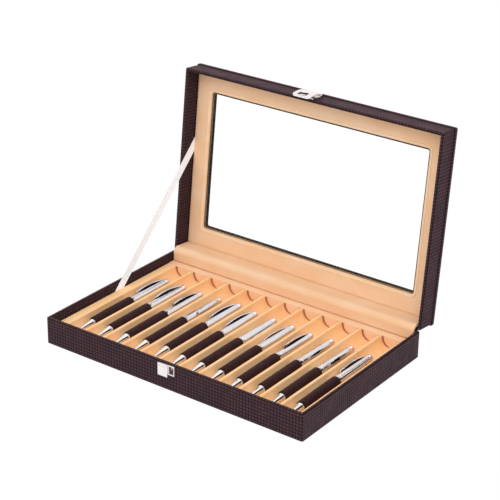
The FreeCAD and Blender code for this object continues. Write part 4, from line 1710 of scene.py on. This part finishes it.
    def strip(self) -> None:
        """Makes the leatherette strip outside, down the base's back and along the lid's."""
        loop = self.strip_line(self.strip_thickness) + self.strip_line(self.strip_gap)[::-1]
        places = steps_between(-self.strip_half, self.strip_half, self.strip_steps)
        piece = loft([[Vector((x, y, z)) for y, z in loop] for x in places]).make("hinge_fold")
        self.fold(
            piece, self.palette.base_leatherette, Slot.LEATHERETTE, "hinge_back_strip", self.strip_turn
        )

    def build(self) -> None:
        """Makes the lining and the strip."""
        self.lining()
        self.strip()


@dataclass
class StayRibbon(SubAssembly):
    """The white ribbon at the left that stops the lid, stretched from the tray to the lid's panel."""

    x: float = Box.of("stay_ribbon").middle(0)
    width: float = 11.0 * MM
    thickness: float = 0.3 * MM
    base_reach: float = 102.4 * MM
    lid_reach: float = 125.0 * MM
    tuck: float = 1.5 * MM
    wave: float = 0.04 * MM
    waves: float = 9.0
    steps: int = 64

    def section(self) -> Line:
        """Draws the ribbon's section, a little thicker at its two selvedges.

        Returns:
            (place across, height) points, round the section.
        """
        half, thin = self.width / 2, self.thickness / 2
        line = [(-half, 0.0), (-half + thin, thin)]
        line += [(place, thin * 0.8) for place in steps_between(-half + 2 * thin, half - 2 * thin, 4)]
        line += [(half - thin, thin), (half, 0.0)]
        return line + [(place, -side) for place, side in line[-2:0:-1]]

    def build(self) -> None:
        """Makes the ribbon in the open lid's pose and bakes its place; it is not set up to fold with the
        lid.
        """
        base = Vector((self.x, LID_PLACE.hinge_y - self.base_reach, STRIPS.high.z + self.tuck))
        top = LID_PLACE.point(self.x, self.lid_reach, PANEL.low.z - self.tuck)
        along = (top - base).normalized()
        across = Vector((0, -along.z, along.y))
        into_lid = LID_PLACE.point(0, 0, 1) - LID_PLACE.point(0, 0, 0)
        behind = LID_PLACE.point(self.x, 0, PANEL.low.z + self.tuck)

        def ends(place: float) -> tuple[Vector, Vector]:
            """Finds where one of the ribbon's threads ends.

            Args:
                place: Its place across the ribbon.

            Returns:
                Its ends, below the tray and behind the panel.
            """
            low, high = base + across * place, top + across * place
            low = low + along * ((STRIPS.high.z - self.tuck - low.z) / along.z)
            return low, high + along * ((behind - high).dot(into_lid) / along.dot(into_lid))

        start, end = ends(0.0)
        rings = []
        for share in steps_between(0, 1, self.steps):
            wave = self.wave * math.sin(self.waves * share)
            ring = []
            for place, side in self.section():
                low, high = ends(place)
                ring.append(low.lerp(high, share) + Vector((side + wave, 0, 0)))
            rings.append(ring)
        piece = loft(rings).make("lid_ribbon")
        map_along(piece.data, start, along, across)
        self.dress(piece, self.palette.ribbon, Slot.RIBBON, ["stay_ribbon"])
        self.bend_with_lid(piece, base, top)


@dataclass
class SnapClasp(SubAssembly):
    """The nickel clasp: the catch on the base, and the leaf, pin and bowed hasp on the lid."""

    bevel: float = 0.12 * MM
    bevel_above: float = math.radians(40)
    node_weld: float = 0.003 * MM
    flat_below: float = math.radians(1.0)
    rivet_x: float = 5.4 * MM
    rivet_heights: tuple[float, float] = (21.9 * MM, 26.9 * MM)
    rivet_radius: float = 1.1 * MM
    rivet_head: float = 0.5 * MM
    rivet_sides: int = 18
    rivet_outline: tuple[tuple[float, float], ...] = (
        (0.0, 0.0), (1.0, 0.0), (1.0, 0.4), (0.86, 0.85),
        (0.66, 1.0), (0.45, 0.8), (0.36, 0.25), (0.0, 0.2),
    )
    plate_front: float = Box.of("catch_plate").low.y

    def softened(
        self, name: str, node: str, body: Body, material: bpy.types.Material | None = None
    ) -> None:
        """Copies a node's shape with its edges broken, as pressed and tumbled metal has them.

        Args:
            name: The new piece's name.
            node: The node that it stands for.
            body: The body that it rides on.
            material: Its finish, where that isn't the bright nickel.
        """
        mesh = frame["nodes"][node].data.copy()
        mesh.name = name
        with editing(mesh) as edit:
            bmesh.ops.remove_doubles(edit, verts=edit.verts, dist=self.node_weld)
            bmesh.ops.dissolve_limit(
                edit, angle_limit=self.flat_below, verts=edit.verts, edges=edit.edges
            )
            bmesh.ops.recalc_face_normals(edit, faces=edit.faces)
        if mesh.has_custom_normals:
            mesh.attributes.remove(mesh.attributes["custom_normal"])
        piece = linked(name, mesh)
        broken = piece.modifiers.new("Broken", "BEVEL")
        broken.width = self.bevel
        broken.segments = 2
        broken.limit_method = "ANGLE"
        broken.angle_limit = self.bevel_above
        broken.use_clamp_overlap = True
        applied(piece)
        shade_smooth(piece.data)
        self.settle(piece, material or self.palette.nickel, body.value, Slot.CLASP, [node])

    def rivets(self) -> None:
        """Makes the two hollow rivets that hold the catch."""
        profile = [
            (away * self.rivet_radius, -out * self.rivet_head) for away, out in self.rivet_outline
        ]
        low, high = self.rivet_heights
        place = Matrix.Translation((self.rivet_x, self.plate_front, low))
        piece = repeat_in_row(
            lathe(profile, self.rivet_sides).moved(place).make("catch_rivet_pair"),
            self.palette.flange, len(self.rivet_heights), high - low, axis="Z",
        )
        shade_smooth(piece.data)
        self.settle(piece, self.palette.flange, Body.BASE.value, Slot.CLASP, ["catch_rivets"])

    def build(self) -> None:
        """Makes the clasp."""
        self.softened("clasp_catch", "catch_plate", Body.BASE, self.palette.flange)
        self.softened("clasp_housing", "catch_housing", Body.BASE)
        self.rivets()
        self.softened("clasp_leaf", "hasp_leaf", Body.LID)
        self.softened("clasp_hasp", "hasp_plate", Body.HASP)
        self.repaint(self.palette.nickel, "hasp_pin")


@dataclass
class Pens(SubAssembly):
    """The pens: a dark barrel, a metal cone and point, and a metal cap with a bowed clip.

    Each is drawn with its axis along y and the joint of barrel and cap at the origin.
    """

    segments: int = 40
    barrel_length: float = 64.0 * MM
    barrel_rear: float = 6.5 * MM
    barrel_front: float = 6.0 * MM
    barrel_rounding: float = 0.7 * MM
    barrel_swell: float = 0.12 * MM
    seat_step: float = 0.02 * MM
    seat_share: float = 1.04
    tuck: float = 0.3 * MM
    cone_length: float = 22.0 * MM
    cone_rear: float = 4.6 * MM
    cone_front: float = 1.4 * MM
    cone_fullness: float = 0.3 * MM
    collar_rise: float = 0.2 * MM
    point_radius: float = 0.6 * MM
    point_length: float = 3.0 * MM
    cap_length: float = 66.0 * MM
    cap_front: float = 5.4 * MM
    cap_rear: float = 4.3 * MM
    groove_depth: float = 0.35 * MM
    rear_groove: float = 5.2 * MM
    dome: float = 2.2 * MM
    dome_power: float = 0.6
    clip_rear: float = 60.0 * MM
    clip_front: float = 16.0 * MM
    clip_width: float = 3.8 * MM
    clip_thickness: float = 1.6 * MM
    clip_rise: float = 3.1 * MM
    clip_steps: int = 30
    clip_tip: float = 0.9
    clip_outline: tuple[tuple[float, float], ...] = (
        (-1.0, 0.15), (-0.85, 0.0), (0.85, 0.0), (1.0, 0.15),
        (1.0, 0.6), (0.75, 0.9), (0.0, 1.0), (-0.75, 0.9), (-1.0, 0.6),
    )
    # Width of the black fin of painted shade under the clip.
    clip_shade_width: float = 1.8 * MM
    clip_turns: tuple[float, ...] = (48, 44, 30, -42, 52, 56, -84, 82, 24, -52, -46, 68)

    def barrel(self) -> Draft:
        """Draws the barrel, turned, with soft shoulders and a sunk seat at each end.

        Returns:
            Its draft.
        """
        soft, length = self.barrel_rounding, self.barrel_length
        rear, front = self.barrel_rear, self.barrel_front
        profile = [(0.0, 0.0), (self.cap_front * self.seat_share, 0.0), (rear - soft, -self.seat_step)]
        profile += arc((rear - soft, -soft), soft, 90, 0, 6)[1:]
        for share in steps_between(0, 1, 10)[1:-1]:
            swell = self.barrel_swell * math.sin(math.pi * share)
            along = -soft - (length - 2 * soft) * share
            profile.append((rear + (front - rear) * share + swell, along))
        profile += arc((front - soft, soft - length), soft, 0, -90, 6)[:-1]
        profile += [(front - soft, self.seat_step - length), (0.0, -length)]
        return lathe(profile, self.segments)

    def cone(self) -> Draft:
        """Draws the cone in front of the barrel: a collar, a slightly full taper, a ring and the point.

        Returns:
            Its draft.
        """
        start = -self.barrel_length
        end = start - self.cone_length
        rear, front = self.cone_rear, self.cone_front
        collar, neck = rear + self.collar_rise, rear - 0.1 * MM
        profile = [(0.0, start + self.tuck), (rear, start + self.tuck), (collar, start - 0.2 * MM)]
        profile += [(collar, start - 1.5 * MM), (neck, start - 1.7 * MM), (neck, start - 2.0 * MM)]
        for share in steps_between(0.1, 0.9, 10):
            full = self.cone_fullness * math.sin(math.pi * share)
            profile.append((rear + (front - rear) * share + full, start + (end - start) * share))
        profile += [(front + 0.18 * MM, end + 1.6 * MM), (front - 0.1 * MM, end + 1.5 * MM)]
        profile += [(front - 0.15 * MM, end), (front - 0.4 * MM, end - 0.15 * MM)]
        point, tip = self.point_radius, end - self.point_length
        profile += [(point + 0.1 * MM, end - 0.2 * MM), (point, tip + 0.7 * MM)]
        profile += [(point * 0.6, tip + 0.12 * MM), (0.0, tip)]
        return lathe(profile, self.segments)

    def cap_radius(self, along: float) -> float:
        """Returns the cap's radius at a distance behind the joint."""
        return self.cap_front + (self.cap_rear - self.cap_front) * along / self.cap_length

    def cap(self) -> Draft:
        """Draws the cap: a ring at the joint, a groove, a long taper, a second groove and a domed end.

        Returns:
            Its draft.
        """
        length, front, rear = self.cap_length, self.cap_front, self.cap_rear
        ring, sunk = front + 0.15 * MM, front - self.groove_depth
        profile = [(0.0, -self.tuck), (front, -self.tuck), (ring, 0.3 * MM), (ring, 4.2 * MM)]
        profile += [(front - 0.1 * MM, 4.5 * MM), (sunk, 4.6 * MM), (sunk, 5.3 * MM)]
        profile += [(self.cap_radius(5.5 * MM), 5.5 * MM)]
        profile += [(self.cap_radius(y), y) for y in steps_between(8 * MM, length - 6.5 * MM, 12)]
        groove, sunk = length - self.rear_groove, rear - self.groove_depth
        profile += [(self.cap_radius(groove), groove - 0.3 * MM), (sunk, groove)]
        profile += [(sunk, groove + 0.6 * MM), (rear, groove + 0.9 * MM)]
        for angle in steps_between(0, QUARTER, 8)[:-1]:
            round_in = math.cos(angle) ** self.dome_power
            profile.append((rear * round_in, length - self.dome + self.dome * math.sin(angle)))
        return lathe(profile + [(0.0, length)], self.segments)

    def clip_under(self, share: float) -> float:
        """Finds the height of the clip's underside over the pen's axis.

        Args:
            share: The share of the clip's length, from its rear end.

        Returns:
            The height.
        """
        low_rear = self.cap_radius(self.clip_rear) - 0.6 * MM
        low_front = self.cap_radius(self.clip_front) + 0.2 * MM
        peak = self.cap_front + self.clip_rise - self.clip_thickness
        bow = max(0.0, math.sin(math.pi * share)) ** 0.75
        return low_rear + (low_front - low_rear) * share + (peak - (low_rear + low_front) / 2) * bow

    def clip(self) -> Draft:
        """Draws the bowed clip, straight up over the cap, with a rooted rear end and a rolled front end.

        Returns:
            Its draft.
        """
        rings = []
        for share in steps_between(0, 1, self.clip_steps):
            along = self.clip_rear + (self.clip_front - self.clip_rear) * share
            under = self.clip_under(share)
            fullness = math.sin(math.pi * min(1.0, 0.15 + 0.85 * share)) ** 0.8
            width, crown = self.clip_width / 2 * (0.72 + 0.36 * fullness), self.clip_thickness
            if share > self.clip_tip:
                width *= 1 - 0.5 * ((share - self.clip_tip) / (1 - self.clip_tip)) ** 2
            if share >= self.clip_tip:
                crown *= 1.25
            rings.append([Vector((width * x, along, under + crown * z)) for x, z in self.clip_outline])
        return loft(rings)

    def shade_fin(self) -> Draft:
        """Draws a black fin of painted shade that fills most of the gap between the clip and the cap.

        Returns:
            Its draft.
        """
        half, rings = self.clip_shade_width / 2, []
        for share in steps_between(0.08, 0.92, 20):
            along = self.clip_rear + (self.clip_front - self.clip_rear) * share
            foot = self.cap_radius(along) - 0.3 * MM
            head = self.clip_under(share) + 0.1 * MM
            outline = ((-half, foot), (half, foot), (half, head), (-half, head))
            rings.append([Vector((x, along, z)) for x, z in outline])
        return loft(rings)

    def build(self) -> None:
        """Makes every pen where its own barrel lies."""
        parts = (
            ("lacquered_barrel", self.barrel(), self.palette.lacquer, Slot.LACQUER, ["barrel"]),
            ("cap", self.cap(), self.palette.chrome, Slot.CHROME, ["metal"]),
            ("cone", self.cone(), self.palette.polished, Slot.CHROME, []),
            ("clip", self.clip(), self.palette.chrome, Slot.CHROME, []),
            # The black fin under each clip is painted shade in the gap between clip and cap.
            ("clip_spring", self.shade_fin(), self.palette.near_black, Slot.LACQUER, []),
        )
        for number, turn in enumerate(self.clip_turns, start=1):
            body = f"pen_{number:02d}"
            barrel = Box.of(f"{body}_barrel")
            place = Matrix.Translation((barrel.middle(0), barrel.high.y, barrel.middle(2)))
            place = place @ Matrix.Rotation(math.radians(-turn), 4, "Y")
            for name, draft, material, slot, nodes in parts:
                piece = draft.moved(place).make(f"{body}_{name}")
                self.settle(piece, material, body, slot, [f"{body}_{node}" for node in nodes])


# ---------------------------------------------------------------- studio


@dataclass(frozen=True)
class Lamp:
    """A soft square lamp."""

    name: str
    place: tuple[float, float, float]
    target: tuple[float, float, float]
    size: float
    power: float

    def hang(self) -> None:
        """Hangs the lamp, turned to its target."""
        data = bpy.data.lights.new(self.name, "AREA")
        data.shape = "SQUARE"
        data.size = self.size
        data.energy = self.power
        lamp = linked(self.name, data)
        lamp.location = self.place
        way = Vector(self.target) - Vector(self.place)
        lamp.rotation_euler = way.to_track_quat("-Z", "Y").to_euler()


@dataclass
class Studio:
    """White floor, black card, soft light and the camera."""

    camera_place: tuple[float, float, float] = (0.9369, -1.2598, 0.8496)
    camera_target: tuple[float, float, float] = (0.0223, 0.0, 0.1264)
    camera_roll: float = math.radians(0.829)
    lens: float = 117.5
    sensor: float = 36.0
    clip_end: float = 50.0
    floor_half: float = 6.0
    floor_drop: float = 0.2 * MM
    ambient: float = 0.92
    card_place: tuple[float, float] = (0.85, 0.53)
    card_heights: tuple[float, float] = (0.15, 1.9)
    card_half: float = 0.45
    lamps: tuple[Lamp, ...] = (
        Lamp("KeyLamp", (0.1, -1.1, 1.6), (0.0, 0.0, 0.05), 1.2, 8.0),
        Lamp("FillLamp", (1.2, -0.6, 1.3), (0.0, 0.0, 0.08), 1.2, 3.0),
    )

    def stage_sheet(
        self, name: str, corners: list[Vector], material: bpy.types.Material
    ) -> bpy.types.Object:
        """Makes a flat sheet of the studio.

        Args:
            name: The sheet's name.
            corners: Its four corners.
            material: Its finish.

        Returns:
            The sheet.
        """
        sheet = Draft(corners, [(0, 1, 2, 3)]).make(name, outward=False)
        sheet.data.materials.append(material)
        return sheet

    def lay_floor(self) -> None:
        """Lays the floor."""
        half = self.floor_half
        ways = ((-half, -half), (half, -half), (half, half), (-half, half))
        corners = [Vector((x, y, -self.floor_drop)) for x, y in ways]
        self.stage_sheet("studio_floor", corners, StudioFloor().build())

    def stand_card(self) -> None:
        """Stands a black card beside the set, which only metal shows, as a dark line along it."""
        foot = Vector((*self.card_place, 0.0))
        across = foot.normalized().cross(Vector((0, 0, 1))) * self.card_half
        low, high = self.card_heights
        corners = [
            foot + across * sign + Vector((0, 0, height))
            for sign, height in ((-1, low), (1, low), (1, high), (-1, high))
        ]
        shade_card = self.stage_sheet("studio_black_card", corners, BlackCard().build())
        for kind in ("camera", "diffuse", "transmission", "volume_scatter", "shadow"):
            setattr(shade_card, f"visible_{kind}", False)

    def light_world(self) -> None:
        """Fills the room with soft light, and shows it white where it is seen."""
        world = bpy.data.worlds.new("StudioRoom")
        bpy.context.scene.world = world
        world.use_nodes = True
        tree = world.node_tree
        tree.nodes.clear()
        rays = tree.nodes.new("ShaderNodeLightPath").outputs
        seen = rays["Is Camera Ray"]
        for label in ("Is Glossy Ray", "Is Transmission Ray"):
            larger = tree.nodes.new("ShaderNodeMath")
            larger.operation = "MAXIMUM"
            tree.links.new(seen, larger.inputs[0])
            tree.links.new(rays[label], larger.inputs[1])
            seen = larger.outputs[0]
        level = tree.nodes.new("ShaderNodeMapRange")
        level.inputs["To Min"].default_value = self.ambient
        level.inputs["To Max"].default_value = 1.0
        tree.links.new(seen, level.inputs["Value"])
        glow = tree.nodes.new("ShaderNodeBackground")
        glow.inputs["Color"].default_value = WHITE
        tree.links.new(level.outputs[0], glow.inputs["Strength"])
        output = tree.nodes.new("ShaderNodeOutputWorld")
        tree.links.new(glow.outputs[0], output.inputs["Surface"])

    def place_camera(self) -> None:
        """Sets the camera at its place, with its small roll."""
        data = bpy.data.cameras.new("StudioCamera")
        data.lens = self.lens
        data.sensor_width = self.sensor
        data.sensor_fit = "HORIZONTAL"
        data.clip_end = self.clip_end
        place, target = Vector(self.camera_place), Vector(self.camera_target)
        forward = (target - place).normalized()
        right = forward.cross(Vector((0, 0, 1))).normalized()
        upward = right.cross(forward)
        turned_right = right * math.cos(self.camera_roll) + upward * math.sin(self.camera_roll)
        turned_up = upward * math.cos(self.camera_roll) - right * math.sin(self.camera_roll)
        columns = Matrix((turned_right, turned_up, -forward)).transposed().to_4x4()
        camera = linked("StudioCamera", data)
        camera.matrix_world = Matrix.Translation(place) @ columns
        bpy.context.scene.camera = camera

    def build(self) -> None:
        """Sets the studio up."""
        bpy.context.scene.view_settings.view_transform = "Standard"
        self.place_camera()
        self.lay_floor()
        self.stand_card()
        self.light_world()
        for lamp in self.lamps:
            lamp.hang()


def main() -> None:
    """Builds the studio and the chest's parts in order."""
    logging.basicConfig(level=logging.INFO, format="%(message)s")
    Studio().build()
    palette = Palette()
    for part in (
        ChestShell(palette), PenTray(palette), LidWindow(palette), HingeCloth(palette),
        StayRibbon(palette), SnapClasp(palette), Pens(palette),
    ):
        log.info("building %s", type(part).__name__)
        part.build()


if __name__ == "__main__":
    main()
